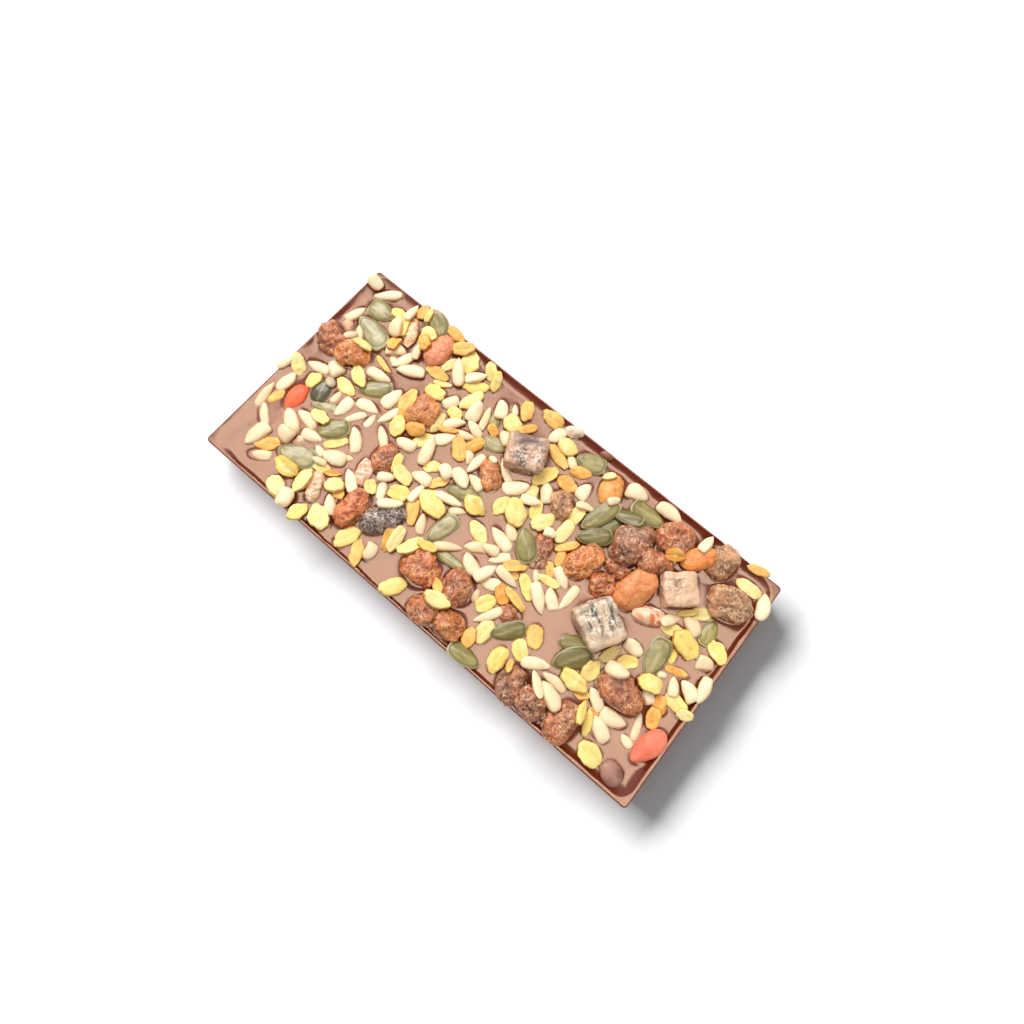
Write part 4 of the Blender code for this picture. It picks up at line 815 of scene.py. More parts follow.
def cube_shapes(pieces):
    """Candied fruit cubes: a block with round edges, crusted with sugar crystals.

    A point lies where an arrow from the middle meets |x/a|^n + |y/b|^n + |z/c|^n = 1. Layered
    noise gnaws at the faces. Hollows are noise drawn out along X, and thin webs stand on them.
    Each block leans along its length by its CUBE_LEANS.
    """
    share, angle = shell_grid(*CUBE_GRID)
    ring = np.sqrt(np.clip(1 - share**2, 0, 1))
    arrow = joined(share, ring * np.cos(angle), ring * np.sin(angle))
    half = gathered(pieces, "sizes")[:, None, None, :] / 2
    reach = (np.abs(arrow / half) ** CUBE_POWER).sum(axis=-1) ** (-1 / CUBE_POWER)
    local = arrow * reach[..., None]
    places = own_places(pieces, local)
    wound = places + 0.5 * MM * pushes(places, 2.2 * MM, 81)
    gnaw = layered_noise(places, 3.6 * MM, 3, 84)
    drawn = np.array([0.4, 1.0, 0.8])
    hollow_spot = cube_spot(local / half, CUBE_HOLLOWS)
    facet = cube_spot(local / half, CUBE_FACETS)
    hollow = np.clip(layered_noise(wound * drawn, 1.9 * MM, 2, 87) * 3.6, 0, 1) * hollow_spot
    crystal = np.maximum(
        web_noise(wound * drawn, 1.3 * MM, 0.08, 85),
        web_noise(wound * drawn[[1, 0, 2]], 1.7 * MM, 0.07, 86),
    )
    thread = crystal * (0.25 + 0.75 * hollow_spot) * (1 - 0.8 * facet)
    rise = MM * (0.5 * gnaw * (1 - 0.5 * facet) + 0.1 * thread - 0.32 * hollow)
    local = local + arrow * rise[..., None]
    local[..., 0] += np.tan(np.radians(CUBE_LEANS))[:, None, None] * local[..., 2]
    return set_down(pieces, local), {"thread": thread, "hollow": hollow, "facet": facet}


def crumb_shapes(pieces):
    """Crumbs: small lumps with blunt ends and noisy sides."""
    length, width, thick = sizes_of(pieces)
    share, angle = shell_grid(*CRUMB_GRID)
    outline = np.clip(1 - share**2, 0, 1) ** 0.36
    local = joined(
        length / 2 * share,
        width / 2 * outline * np.cos(angle),
        thick / 2 * outline * np.sin(angle),
    )
    lumps = layered_noise(own_places(pieces, local), 3.0 * MM, 3, 91)
    local *= (1 + CRUMB_LUMPS[:, None, None] * lumps)[..., None]
    values = {"tone": np.arange(len(pieces))[:, None, None], "fold": lumps * 0.5 + 0.5}
    return set_down(pieces, local), values


def round_corners(x, y, half_x, half_y):
    """Move the points of a rectangle's grid so that its nested outlines get round corners.

    On the outline at each inset, a point nearer to the corner than the radius goes to the arc,
    at the angle that its distance from the corner gives, 45 degrees at the corner itself.
    """
    inset = np.minimum(half_x - np.abs(x), half_y - np.abs(y))
    reach_x = half_x - inset
    reach_y = half_y - inset
    radius = np.maximum(np.minimum(CORNER_RADIUS, np.minimum(reach_x, reach_y)), 1e-9)
    beside_y = reach_y - np.abs(y) <= reach_x - np.abs(x)
    from_corner = np.maximum(reach_x - np.abs(x), reach_y - np.abs(y)) / radius
    turn = np.where(beside_y, 1, -1) * np.clip(from_corner, 0, 1)
    angle = np.radians(45) * (1 + turn)
    near = from_corner < 1
    new_x = np.where(near, reach_x - radius + radius * np.cos(angle), np.abs(x))
    new_y = np.where(near, reach_y - radius + radius * np.sin(angle), np.abs(y))
    return np.sign(x) * new_x, np.sign(y) * new_y


def rounded_box_inset(x, y, half_x, half_y, radius):
    """How far inside a rectangle with round corners a point lies; less than 0 outside it."""
    over_x = np.abs(x) - (half_x - radius)
    over_y = np.abs(y) - (half_y - radius)
    outer = np.hypot(np.maximum(over_x, 0), np.maximum(over_y, 0))
    return radius - outer - np.minimum(np.maximum(over_x, over_y), 0)


def ease(value):
    """0 below 0, 1 above 1, and 3t^2 - 2t^3 between."""
    value = np.clip(value, 0, 1)
    return value * value * (3 - 2 * value)


def rim_sizes(x, y):
    """Width of the rim, and width and depth of its bank, at each point.

    Each spot of RIM_SPOTS counts by a weight that falls off as a power of e with its distance.
    """
    total = 0.0
    widths = 0.0
    for spot_x, spot_y, *sizes in RIM_SPOTS:
        weight = np.exp(-np.hypot(x - spot_x, y - spot_y) / SPOT_REACH)
        total = total + weight
        widths = widths + weight * np.array(sizes)[:, None, None]
    return widths / total


def grown(x, y):
    """Move points outwards, by an ease from GROWTH_START to GROWTH_END inside the outline."""
    share_x = ease((np.abs(x) - LENGTH / 2 + GROWTH_START) / (GROWTH_START - GROWTH_END))
    share_y = ease((np.abs(y) - WIDTH / 2 + GROWTH_START) / (GROWTH_START - GROWTH_END))
    growth_x, growth_y = OUTLINE_GROWTH
    return x + np.sign(x) * growth_x * share_x, y + np.sign(y) * growth_y * share_y


def creep_of(x, y):
    """How near poured chocolate is to something in it, and how far up that it has crept.

    The nearness is 1 just inside the thing's edge, by CREEP_UNDER of its thickness, and falls
    off as a power of e, as fast as CREEP_REACH of its thickness gives. It marks where painted
    shade darkens the chocolate. The height is CREEP_STEEPNESS of that reach, times the nearness.
    """
    creep_shade = np.zeros_like(x)
    climb = np.zeros_like(x)
    for kind, pieces in laid_pieces().items():
        for piece in pieces:
            if piece["layer"]:
                continue
            away = np.stack([x, y]) - piece["middle"][:2, None, None]
            along = np.tensordot(piece["axes"][:2, 0], away, 1)
            across = np.tensordot(piece["axes"][:2, 1], away, 1)
            half = piece["sizes"][:2] / 2
            power = SQUARE_OUTLINE if kind == "candied_cube" else ROUND_OUTLINE
            parts = np.abs(along / half[0]) ** power + np.abs(across / half[1]) ** power
            radius = parts ** (1 / power)
            thick = piece["sizes"][2]
            gap = (radius - 1) * math.sqrt(half[0] * half[1]) + CREEP_UNDER * thick
            reach = CREEP_REACH * thick
            nearness = np.exp(-np.maximum(gap, 0) / reach)
            creep_shade = np.maximum(creep_shade, nearness)
            climb = np.maximum(climb, CREEP_STEEPNESS * reach * nearness)
    return creep_shade, climb


def chocolate_height(x, y):
    """Height of the poured top, and the masks of painted shade near each topping and on the bank.

    From the outer edge in, a quarter oval rises to the rim. The bank inside the rim falls by
    1 - (1 - t)^BANK_POWER, steepest at the rim, to the dish's floor, which waves a little.
    Chocolate creeps up whatever is set into it. The bank's painted shade is darkest just inside
    the rim, where it is deep and narrow.
    """
    edge = rounded_box_inset(x, y, LENGTH / 2, WIDTH / 2, CORNER_RADIUS)
    places = np.stack([x, y, np.zeros_like(x)], axis=-1)
    wander = EDGE_WANDER[1] * smooth_noise(places / EDGE_WANDER[0], 1)
    dish = rounded_box_inset(x, y, LENGTH / 2, WIDTH / 2, DISH_CORNER_RADIUS)
    rim_width, bank_width, depth = rim_sizes(x, y)
    along = np.clip((dish - rim_width + wander) / bank_width, 0, 1)
    down = 1 - (1 - along) ** BANK_POWER
    shoulder = np.clip(edge / SHOULDER_WIDTH, 0, 1)
    height = THICKNESS - SHOULDER_DROP * (1 - np.sqrt(1 - (1 - shoulder) ** 2))
    height -= depth * down
    rim = (1 - down) * shoulder
    height += rim * RIM_WAVES[1] * smooth_noise(places / RIM_WAVES[0], 2)
    waves = FLOOR_WAVES[1] * layered_noise(places, FLOOR_WAVES[0], 2, 3)
    waves += FLOOR_RIPPLES[1] * smooth_noise(places / FLOOR_RIPPLES[0], 4)
    creep_shade, climb = creep_of(x, y)
    height += down * (waves + climb)
    # The bank's painted shade, strongest where the bank is deep and narrow.
    steepness = depth / DISH_DEPTH * np.clip(STEEP_BANK / bank_width, 0, 1) ** 2
    bank = np.clip(BANK_ONSET * along, 0, 1) * (1 - along) * steepness
    return height, creep_shade, bank


def steps_in(reach):
    """Places from -reach to reach, whose steps grow evenly from both ends, then stay the same."""
    growing = np.cumsum(np.arange(EDGE_STEP, INNER_STEP, STEP_GROWTH))
    flat = reach - growing[-1]
    inner = np.linspace(-flat, flat, 1 + math.ceil(2 * flat / INNER_STEP))
    outer = reach - np.concatenate([[0.0], growing[:-1]])
    return np.concatenate([-outer, inner, outer[::-1]])


def chocolate_mesh():
    """The bar: its top as a height over a grid, its leaning walls and its flat underside.

    The walls are rings of the top's own border, each moved in and down: straight down the
    lean, then round the base by a quarter circle. One flat face closes the underside.
    """
    grid_x, grid_y = np.meshgrid(steps_in(LENGTH / 2), steps_in(WIDTH / 2), indexing="ij")
    rows, columns = grid_x.shape
    x, y = round_corners(grid_x, grid_y, LENGTH / 2, WIDTH / 2)
    height, creep_shade, bank = chocolate_height(x, y)
    top = np.stack([*grown(x, y), height], axis=-1).reshape(-1, 3)
    index = np.arange(rows * columns).reshape(rows, columns)
    border = np.concatenate([index[:-1, 0], index[-1, :-1], index[:0:-1, -1], index[0, :0:-1]])
    flat_x = grid_x.ravel()[border]
    flat_y = grid_y.ravel()[border]
    start = height.ravel()[border]
    fall = np.linspace(0, 1, WALL_RINGS + 1)[1:]
    walls = [(WALL_LEAN * t, start + (BASE_ROUND - start) * t) for t in fall]
    bend = np.radians(np.linspace(0, 90, BASE_RINGS + 1)[1:])
    walls += [
        (WALL_LEAN + BASE_ROUND * (1 - math.cos(t)), BASE_ROUND * (1 - math.sin(t))) for t in bend
    ]
    rings = []
    for inset, level in walls:
        half_x = LENGTH / 2 - inset
        half_y = WIDTH / 2 - inset
        ring_x, ring_y = round_corners(
            flat_x * half_x / (LENGTH / 2), flat_y * half_y / (WIDTH / 2), half_x, half_y
        )
        ring_x, ring_y = grown(ring_x, ring_y)
        rings.append(np.stack([ring_x, ring_y, level + 0 * ring_x], axis=-1))
    count = len(border)
    cells = np.stack([index[:-1, :-1], index[1:, :-1], index[1:, 1:], index[:-1, 1:]], -1)
    faces = cells.reshape(-1, 4).tolist()
    above = border
    for number in range(len(rings)):
        below = rows * columns + number * count + np.arange(count)
        band = np.stack([above, below, np.roll(below, -1), np.roll(above, -1)], -1)
        faces += band.tolist()
        above = below
    faces.append(above[::-1].tolist())
    points = np.concatenate([top, *rings])
    mesh = bpy.data.meshes.new("bar_chocolate")
    mesh.from_pydata(points.tolist(), [], faces)
    # The two masks of painted shade: near each topping, and on the bank.
    for name, grid in (("creep_shade", creep_shade), ("bank", bank)):
        add_values(mesh, name, np.concatenate([grid.ravel(), np.zeros(len(rings) * count)]))
    mesh.shade_smooth()
    mesh.set_sharp_from_angle(angle=SHARP_ANGLE)
    return mesh


def srgb(red, green, blue):
    """The linear colour of a screen colour given as 0 to 255."""
    share = np.array([red, green, blue]) / 255
    linear = np.where(share <= 0.04045, share / 12.92, ((share + 0.055) / 1.055) ** 2.4)
    return tuple(float(value) for value in linear)


# Skin, fold, ridge and crack colours of each look of raisin; those that aren't named are brown.
# The ridge colours are painted highlights, the crack colours painted shade, and the fold colours
# painted shade in folds and darker mottles.
RAISIN_COLOURS = {
    "brown": (srgb(188, 90, 46), srgb(128, 56, 34), srgb(248, 192, 138), srgb(92, 36, 18)),
    "amber": (srgb(220, 114, 46), srgb(170, 76, 32), srgb(255, 204, 136), srgb(134, 54, 20)),
    "dark": (srgb(158, 82, 48), srgb(96, 48, 34), srgb(244, 188, 142), srgb(70, 30, 20)),
    "purple": (srgb(92, 62, 56), srgb(46, 30, 30), srgb(240, 218, 198), srgb(30, 18, 18)),
    "red": (srgb(208, 92, 38), srgb(150, 58, 26), srgb(254, 194, 132), srgb(108, 38, 16)),
    "tan": (srgb(196, 124, 76), srgb(134, 82, 52), srgb(252, 212, 164), srgb(94, 52, 30)),
}
RAISIN_LOOKS = {
    2: "amber", 3: "amber", 5: "amber", 6: "red", 7: "purple", 8: "red", 11: "amber", 13: "dark",
    14: "dark", 17: "tan", 18: "dark", 21: "red", 22: "amber", 24: "tan", 25: "tan", 27: "dark",
}

# The same four colours of each piece of apricot, goji berry and shred.
APRICOT_COLOURS = (
    (srgb(228, 140, 92), srgb(212, 114, 64), srgb(244, 178, 134), srgb(180, 84, 44)),
    (srgb(232, 158, 70), srgb(214, 100, 32), srgb(248, 200, 120), srgb(160, 50, 22)),
    (srgb(238, 142, 66), srgb(220, 104, 38), srgb(250, 182, 108), srgb(172, 72, 22)),
    (srgb(233, 146, 84), srgb(216, 116, 54), srgb(246, 180, 122), srgb(172, 78, 30)),
)
GOJI_COLOURS = (
    (srgb(248, 116, 68), srgb(232, 84, 48), srgb(254, 150, 108), srgb(190, 50, 30)),
    (srgb(253, 136, 102), srgb(244, 108, 76), srgb(255, 166, 134), srgb(206, 64, 42)),
)
SHRED_COLOURS = (
    (srgb(246, 206, 158), srgb(232, 172, 120), srgb(252, 232, 200), srgb(170, 106, 62)),
    (srgb(230, 190, 150), srgb(198, 148, 112), srgb(250, 228, 202), srgb(140, 90, 66)),
    (srgb(242, 192, 156), srgb(222, 158, 122), srgb(254, 230, 206), srgb(166, 104, 76)),
    (srgb(246, 206, 166), srgb(234, 118, 62), srgb(255, 236, 210), srgb(196, 52, 26)),
)

# Flesh, hollow, thread and facet colours of each cube.
CUBE_COLOURS = (
    (srgb(226, 182, 144), srgb(146, 104, 78), srgb(249, 224, 196), srgb(228, 188, 152)),
    (srgb(214, 184, 152), srgb(78, 68, 50), srgb(250, 238, 220), srgb(226, 188, 152)),
    (srgb(204, 160, 124), srgb(54, 44, 38), srgb(232, 212, 198), srgb(130, 96, 86)),
)

# The colour of each crumb, and the painted shade in its folds.
CRUMB_COLOURS = (
    srgb(222, 172, 134), srgb(234, 202, 164), srgb(236, 212, 182), srgb(146, 84, 60),
    srgb(198, 180, 148), srgb(168, 121, 104),
)
CRUMB_FOLD_SHADE = srgb(90, 44, 26)

# Colours on the seeds and flakes that the sliders don't hold.
KERNEL_BEIGE = srgb(252, 226, 186)
KERNEL_TAN = srgb(246, 212, 168)
KERNEL_SIDE_SHADE = srgb(206, 156, 92)
KERNEL_TIP = srgb(176, 128, 84)
OAT_BRAN_AND_SHADE = srgb(206, 150, 60)
TOASTED_BRAN_AND_SHADE = srgb(168, 92, 30)
PUMPKIN_OLIVE = srgb(66, 54, 20)
PUMPKIN_YELLOW = srgb(190, 172, 64)
PUMPKIN_SPINE_HIGHLIGHT = srgb(214, 206, 160)
PUMPKIN_GROOVE_SHADE = srgb(64, 56, 22)
PUMPKIN_RIM_HIGHLIGHT = srgb(208, 196, 140)

# How deep the creases of flakes are at most, as a share of their thickness.
OAT_CREASE_DEPTH = 0.3
TOASTED_CREASE_DEPTH = 0.42

# How far the red-brown painted shade takes over where chocolate creeps up a piece, and on its
# banks.
CREEP_PAINTED_SHADE = 0.7
BANK_PAINTED_SHADE = 0.95

# A net of wrinkles: the size of its cells, its lines' width as a share of that, and their height.
# The net's lines take the skin's painted highlight.
RAISIN_NET = (1.2 * MM, 0.19, 0.13 * MM)
APRICOT_NET = (0.8 * MM, 0.2, 0.06 * MM)

# Each finish: its roughness, its coat, how much light goes in, and its grain's size and depth. The
# chocolate's roughness is a slider, and the floor has no grain.
CHOCOLATE_FINISH = (0.0, 0.06, 1.6 * MM, 0.035 * MM)
KERNEL_FINISH = (0.5, 0.06, 0.22, 0.7 * MM, 0.06 * MM)
FLAKE_FINISH = (0.62, 0.0, 0.2, 0.6 * MM, 0.12 * MM)
PUMPKIN_FINISH = (0.38, 0.25, 0.05, 0.9 * MM, 0.06 * MM)
CRUMB_FINISH = (0.45, 0.15, 0.1, 0.8 * MM, 0.06 * MM)
RAISIN_FINISH = (0.34, 0.25, 0.06, 0.4 * MM, 0.05 * MM)
APRICOT_FINISH = (0.45, 0.15, 0.25, 0.6 * MM, 0.14 * MM)
GOJI_FINISH = (0.55, 0.05, 0.2, 0.8 * MM, 0.05 * MM)
SHRED_FINISH = (0.45, 0.15, 0.25, 0.7 * MM, 0.14 * MM)
SUGAR_FINISH = (0.4, 0.3, 0.2, 0.5 * MM, 0.08 * MM)
FLOOR_FINISH = (0.9, 0.0, 0.0)

# How strongly the floor mirrors, and how far the chocolate's roughness varies to either side.
FLOOR_SHEEN = 0.1
ROUGHNESS_SPREAD = 0.05

# What every finish shares: how rough a coat is, how deep light goes in, and the shares of that
# for red, green and blue, in seeds and in fruit.
COAT_ROUGHNESS = 0.12
SHEER_DEPTH = 1.2 * MM
SEED_REACH = (1.0, 0.5, 0.3)
FRUIT_REACH = (1.0, 0.4, 0.2)

# The stage. The key lamp stands low on the left and lights the floor alone. The soft one hangs
# over the bar, the box gives the toppings their glints, and the sheen panel hangs where the
# chocolate mirrors it. Places are in metres and turns in degrees.
FLOOR_REACH = 1.5
FLOOR_GAP = 0.05 * MM
KEY_PLACE = (-9.0, 1.8, 5.12)
KEY_SIZES = (9.5, 3.2)
BOX_PLACE = (-0.42, 0.26, 0.62)
BOX_SIZES = (0.4, 0.4)
SOFT_PLACE = (-0.35, 0.25, 0.9)
SOFT_SIZES = (2.4, 2.4)
SHEEN_PLACE = (-0.04, -0.01, 1.0)
SHEEN_TARGET = (-0.04, -0.01, 0.0)
SHEEN_SIZES = (1.2, 0.88)
CAMERA_PLACE = (0.0255, -0.03739, 0.21284)
CAMERA_TURN = (16.34, -1.929, 40.064)
CAMERA_LENS = 24.609
CAMERA_SHIFT = (0.014430, -0.046647)
CAMERA_NEAREST = 0.01

# How nodes are laid out: the first one's place, the steps across and down, and how many in a row.
FIRST_NODE = (-1500, 260)
NODE_STEPS = (180, 240)
NODES_IN_ROW = 8


class Wiring:
    """Adds nodes to a material's or a group's tree, and links each to what feeds it."""

    def __init__(self, tree):
        self.tree = tree
        self.count = 0

    def add(self, kind, inputs=None, **settings):
        """Add a node. Inputs maps a socket's name or number to a link or to a value."""
        node = self.tree.nodes.new(kind)
        row, column = divmod(self.count, NODES_IN_ROW)
        node.location = (
            FIRST_NODE[0] + NODE_STEPS[0] * column, FIRST_NODE[1] - NODE_STEPS[1] * row
        )
        self.count += 1
        for key, value in settings.items():
            setattr(node, key, value)
        for key, value in (inputs or {}).items():
            self.feed(node.inputs[key], value)
        return node

    def feed(self, socket, value):
        """Link a socket to another, or set its value."""
        if isinstance(value, bpy.types.NodeSocket):
            self.tree.links.new(value, socket)
        elif socket.type == "RGBA":
            socket.default_value = (*value[:3], 1.0)
        else:
            socket.default_value = value

    def attribute(self, name):
        """The float that the mesh stores at each point under this name."""
        return self.add("ShaderNodeAttribute", attribute_name=name).outputs["Fac"]

    @functools.cached_property
    def places(self):
        """Each point's own place, in metres."""
        return self.add("ShaderNodeTexCoord").outputs["Object"]

    def math(self, operation, first, second):
        """One sum on two numbers, held between 0 and 1."""
        inputs = {0: first, 1: second}
        return self.add("ShaderNodeMath", inputs, operation=operation, use_clamp=True).outputs[0]

    def remap(self, value, low, high, to_low=0.0, to_high=1.0):
        """Stretch a number from one range to another."""
        inputs = {"Value": value, 1: low, 2: high, 3: to_low, 4: to_high}
        return self.add("ShaderNodeMapRange", inputs).outputs[0]

    def share(self, name, most):
        """A float of the mesh, times so much."""
        return self.math("MULTIPLY", self.attribute(name), most)

    def band(self, name, low, high, most):
        """A float of the mesh, stretched from one range to 0 to so much."""
        return self.remap(self.attribute(name), low, high, 0.0, most)

    def noise(self, size, detail):
        """Noise whose blobs are about this size in metres, from 0 to 1."""
        scale = {0: self.places, 1: (1 / size, 1 / size, 1 / size)}
        scaled = self.add("ShaderNodeVectorMath", scale, operation="MULTIPLY").outputs[0]
        inputs = {"Vector": scaled, "Scale": 1.0, "Detail": detail}
        return self.add("ShaderNodeTexNoise", inputs).outputs["Fac"]

    def patches(self, size, detail, low, high, most=1.0):
        """Noise, stretched from one range to 0 to so much."""
        return self.remap(self.noise(size, detail), low, high, 0.0, most)

    def blend(self, factor, first, second):
        """Mix two colours."""
        inputs = {0: factor, 6: first, 7: second}
        return self.add("ShaderNodeMix", inputs, data_type="RGBA").outputs[2]

    def layers(self, colour, *shades):
        """Lay shades over a colour in turn, each as far as the number before it says."""
        for factor, shade in shades:
            colour = self.blend(factor, colour, shade)
        return colour

    def ramp(self, value, stops):
        """A colour from a list of (place, colour) stops."""
        node = self.add("ShaderNodeValToRGB", {"Fac": value})
        elements = node.color_ramp.elements
        while len(elements) < len(stops):
            elements.new(0.5)
        for element, (place, colour) in zip(elements, stops):
            element.position = place
            element.color = (*colour[:3], 1.0)
        return node.outputs["Color"]

    def group(self, tree, inputs):
        """Add a shared group, with what feeds it."""
        node = self.add("ShaderNodeGroup")
        node.node_tree = tree
        for key, value in inputs.items():
            self.feed(node.inputs[key], value)
        return node


def group_tree(name, inputs, outputs):
    """A new node group with these sockets, its wiring, its input node and its output node."""
    tree = bpy.data.node_groups.new(name, "ShaderNodeTree")
    for socket, kind in inputs.items():
        tree.interface.new_socket(socket, in_out="INPUT", socket_type=kind)
    for socket, kind in outputs.items():
        tree.interface.new_socket(socket, in_out="OUTPUT", socket_type=kind)
    wiring = Wiring(tree)
    return tree, wiring, wiring.add("NodeGroupInput"), wiring.add("NodeGroupOutput")


def shrunk_places(wiring, given):
    """In a group: its places divided by its size."""
    share = wiring.add("ShaderNodeMath", {0: 1.0, 1: given.outputs["Size"]}, operation="DIVIDE")
    inputs = {0: given.outputs["Vector"], "Scale": share.outputs[0]}
    return wiring.add("ShaderNodeVectorMath", inputs, operation="SCALE").outputs[0]


@functools.lru_cache(maxsize=None)
def grain_group():
    """A shared group: fine relief of a given size and depth, as a height in metres."""
    tree, wiring, given, made = group_tree(
        "Fine Grain",
        {"Vector": "NodeSocketVector", "Size": "NodeSocketFloat", "Depth": "NodeSocketFloat"},
        {"Height": "NodeSocketFloat"},
    )
    places = shrunk_places(wiring, given)
    noise = wiring.add("ShaderNodeTexNoise", {"Vector": places, "Scale": 1.0, "Detail": 4.0})
    height = wiring.add(
        "ShaderNodeMath", {0: noise.outputs["Fac"], 1: given.outputs["Depth"]}, operation="MULTIPLY"
    )
    wiring.feed(made.inputs["Height"], height.outputs[0])
    return tree


@functools.lru_cache(maxsize=None)
def web_group():
    """A shared group: a net of thin lines round cells of a given size.

    Noise winds the lines about, and where it is low they fade.
    """
    tree, wiring, given, made = group_tree(
        "Wrinkle Net",
        {"Vector": "NodeSocketVector", "Size": "NodeSocketFloat", "Width": "NodeSocketFloat"},
        {"Net": "NodeSocketFloat"},
    )
    places = shrunk_places(wiring, given)
    noise = wiring.add("ShaderNodeTexNoise", {"Vector": places, "Scale": 0.8, "Detail": 2.0})
    push = wiring.add(
        "ShaderNodeVectorMath", {0: noise.outputs["Color"], "Scale": 1.6}, operation="SCALE"
    )
    wound = wiring.add("ShaderNodeVectorMath", {0: places, 1: push.outputs[0]})
    cells = wiring.add(
        "ShaderNodeTexVoronoi", {"Vector": wound.outputs[0], "Scale": 1.0},
        feature="DISTANCE_TO_EDGE",
    )
    net = wiring.remap(cells.outputs["Distance"], given.outputs["Width"], 0.0)
    strength = wiring.remap(noise.outputs["Fac"], 0.4, 0.56, 0.2, 1.0)
    wiring.feed(made.inputs["Net"], wiring.math("MULTIPLY", net, strength))
    return tree


@functools.lru_cache(maxsize=None)
def skin_group():
    """A shared group: a fruit's skin, mottled, with painted highlights on ridges, painted shade in
    folds and cracks.
    """
    colour = "NodeSocketColor"
    number = "NodeSocketFloat"
    tree, wiring, given, made = group_tree(
        "Fruit Skin",
        {"Skin": colour, "Fold Colour": colour, "Ridge Colour": colour, "Crack Colour": colour,
         "Ridge": number, "Crack": number, "Fold": number, "Mottle": number},
        {"Color": colour},
    )
    out = given.outputs
    # Painted shade where the folds sink.
    low = wiring.remap(out["Fold"], 0.62, 0.2)
    shade = wiring.blend(low, out["Skin"], out["Fold Colour"])
    patch = wiring.remap(out["Mottle"], 0.42, 0.6)
    patched = wiring.blend(wiring.math("MULTIPLY", patch, 0.45), shade, out["Fold Colour"])
    # Painted highlight on the ridges.
    ridge = wiring.math("MULTIPLY", out["Ridge"], 0.85)
    ridged = wiring.blend(ridge, patched, out["Ridge Colour"])
    # Painted shade in the cracks.
    cracked = wiring.blend(out["Crack"], ridged, out["Crack Colour"])
    wiring.feed(made.inputs["Color"], cracked)
    return tree


class MaterialWiring(Wiring):
    """The wiring of a new material, with its shader, on which constants are set."""

    def __init__(self, name, finish, reach=SEED_REACH):
        self.material = bpy.data.materials.new(name)
        self.material.use_nodes = True
        super().__init__(self.material.node_tree)
        roughness, coat, sheer, *self.grain = finish
        self.shader = self.tree.nodes["Principled BSDF"]
        self.shader.inputs["Roughness"].default_value = roughness
        self.shader.inputs["Coat Weight"].default_value = coat
        self.shader.inputs["Coat Roughness"].default_value = COAT_ROUGHNESS
        self.shader.inputs["Subsurface Weight"].default_value = sheer
        self.shader.inputs["Subsurface Radius"].default_value = reach
        self.shader.inputs["Subsurface Scale"].default_value = SHEER_DEPTH

    def dressed(self, colour, net=None, net_depth=0.0):
        """The material with its colour, its shared fine relief and, if given, a raised net."""
        self.feed(self.shader.inputs["Base Color"], colour)
        size, depth = self.grain
        grain = self.group(grain_group(), {"Vector": self.places, "Size": size, "Depth": depth})
        height = grain.outputs["Height"]
        if net:
            raised = {0: net, 1: net_depth, 2: height}
            height = self.add("ShaderNodeMath", raised, operation="MULTIPLY_ADD").outputs[0]
        bump = self.add("ShaderNodeBump", {"Height": height, "Distance": 1.0})
        self.feed(self.shader.inputs["Normal"], bump.outputs["Normal"])
        return self.material


def chocolate_material(looks):
    """Milk chocolate: brown with slow clouds, red-brown painted shade, a soft sheen and a faint
    grain.
    """
    wiring = MaterialWiring("milk_chocolate", (looks.roughness, *CHOCOLATE_FINISH))
    base = wiring.blend(wiring.patches(11 * MM, 3.0, 0.3, 0.7), looks.deep_brown, looks.brown)
    # Painted shade round each topping and on the banks.
    creep_shade = wiring.share("creep_shade", CREEP_PAINTED_SHADE)
    bank = wiring.share("bank", BANK_PAINTED_SHADE)
    shaded = wiring.blend(wiring.math("MAXIMUM", creep_shade, bank), base, looks.painted_shade_brown)
    low = looks.roughness - ROUGHNESS_SPREAD
    high = looks.roughness + ROUGHNESS_SPREAD
    dull = wiring.remap(wiring.noise(6 * MM, 2.0), 0.3, 0.7, low, high)
    wiring.feed(wiring.shader.inputs["Roughness"], dull)
    wiring.shader.inputs["Specular IOR Level"].default_value = looks.sheen
    return wiring.dressed(shaded)


def kernel_material(looks):
    """Kernels: ivory to beige, warmer towards their tips, with faint specks and painted shade on
    their sides.
    """
    wiring = MaterialWiring("sunflower_kernel", KERNEL_FINISH)
    tone = wiring.ramp(wiring.attribute("tone"), [
        (0.0, looks.kernel), (0.6, KERNEL_BEIGE), (1.0, KERNEL_TAN),
    ])
    return wiring.dressed(wiring.layers(
        tone,
        (wiring.patches(2.2 * MM, 4.0, 0.45, 0.75, 0.4), looks.kernel_dark),
        # Painted shade along the sides.
        (wiring.band("edge", 0.45, 0.95, 0.6), KERNEL_SIDE_SHADE),
        (wiring.band("share", 0.86, 1.0, 0.5), KERNEL_TIP),
    ))


def flake_material(name, pale, deep, crease):
    """Oat flakes: bran specks, bran and painted shade in the crease, painted shade on the rim."""
    wiring = MaterialWiring(name, FLAKE_FINISH)
    return wiring.dressed(wiring.layers(
        pale,
        (wiring.attribute("tone"), deep),
        (wiring.patches(2.6 * MM, 4.0, 0.4, 0.7, 0.6), deep),
        # Bran and painted shade in the crease.
        (wiring.share("crease", 0.3), crease),
        # A painted highlight where the lumps stand highest.
        (wiring.band("lumps", 0.55, 0.9, 0.8), pale),
        (wiring.patches(0.6 * MM, 2.0, 0.62, 0.72, 0.3), crease),
        # Painted shade along the rim.
        (wiring.band("edge", 0.72, 1.0, 0.75), crease),
    ))


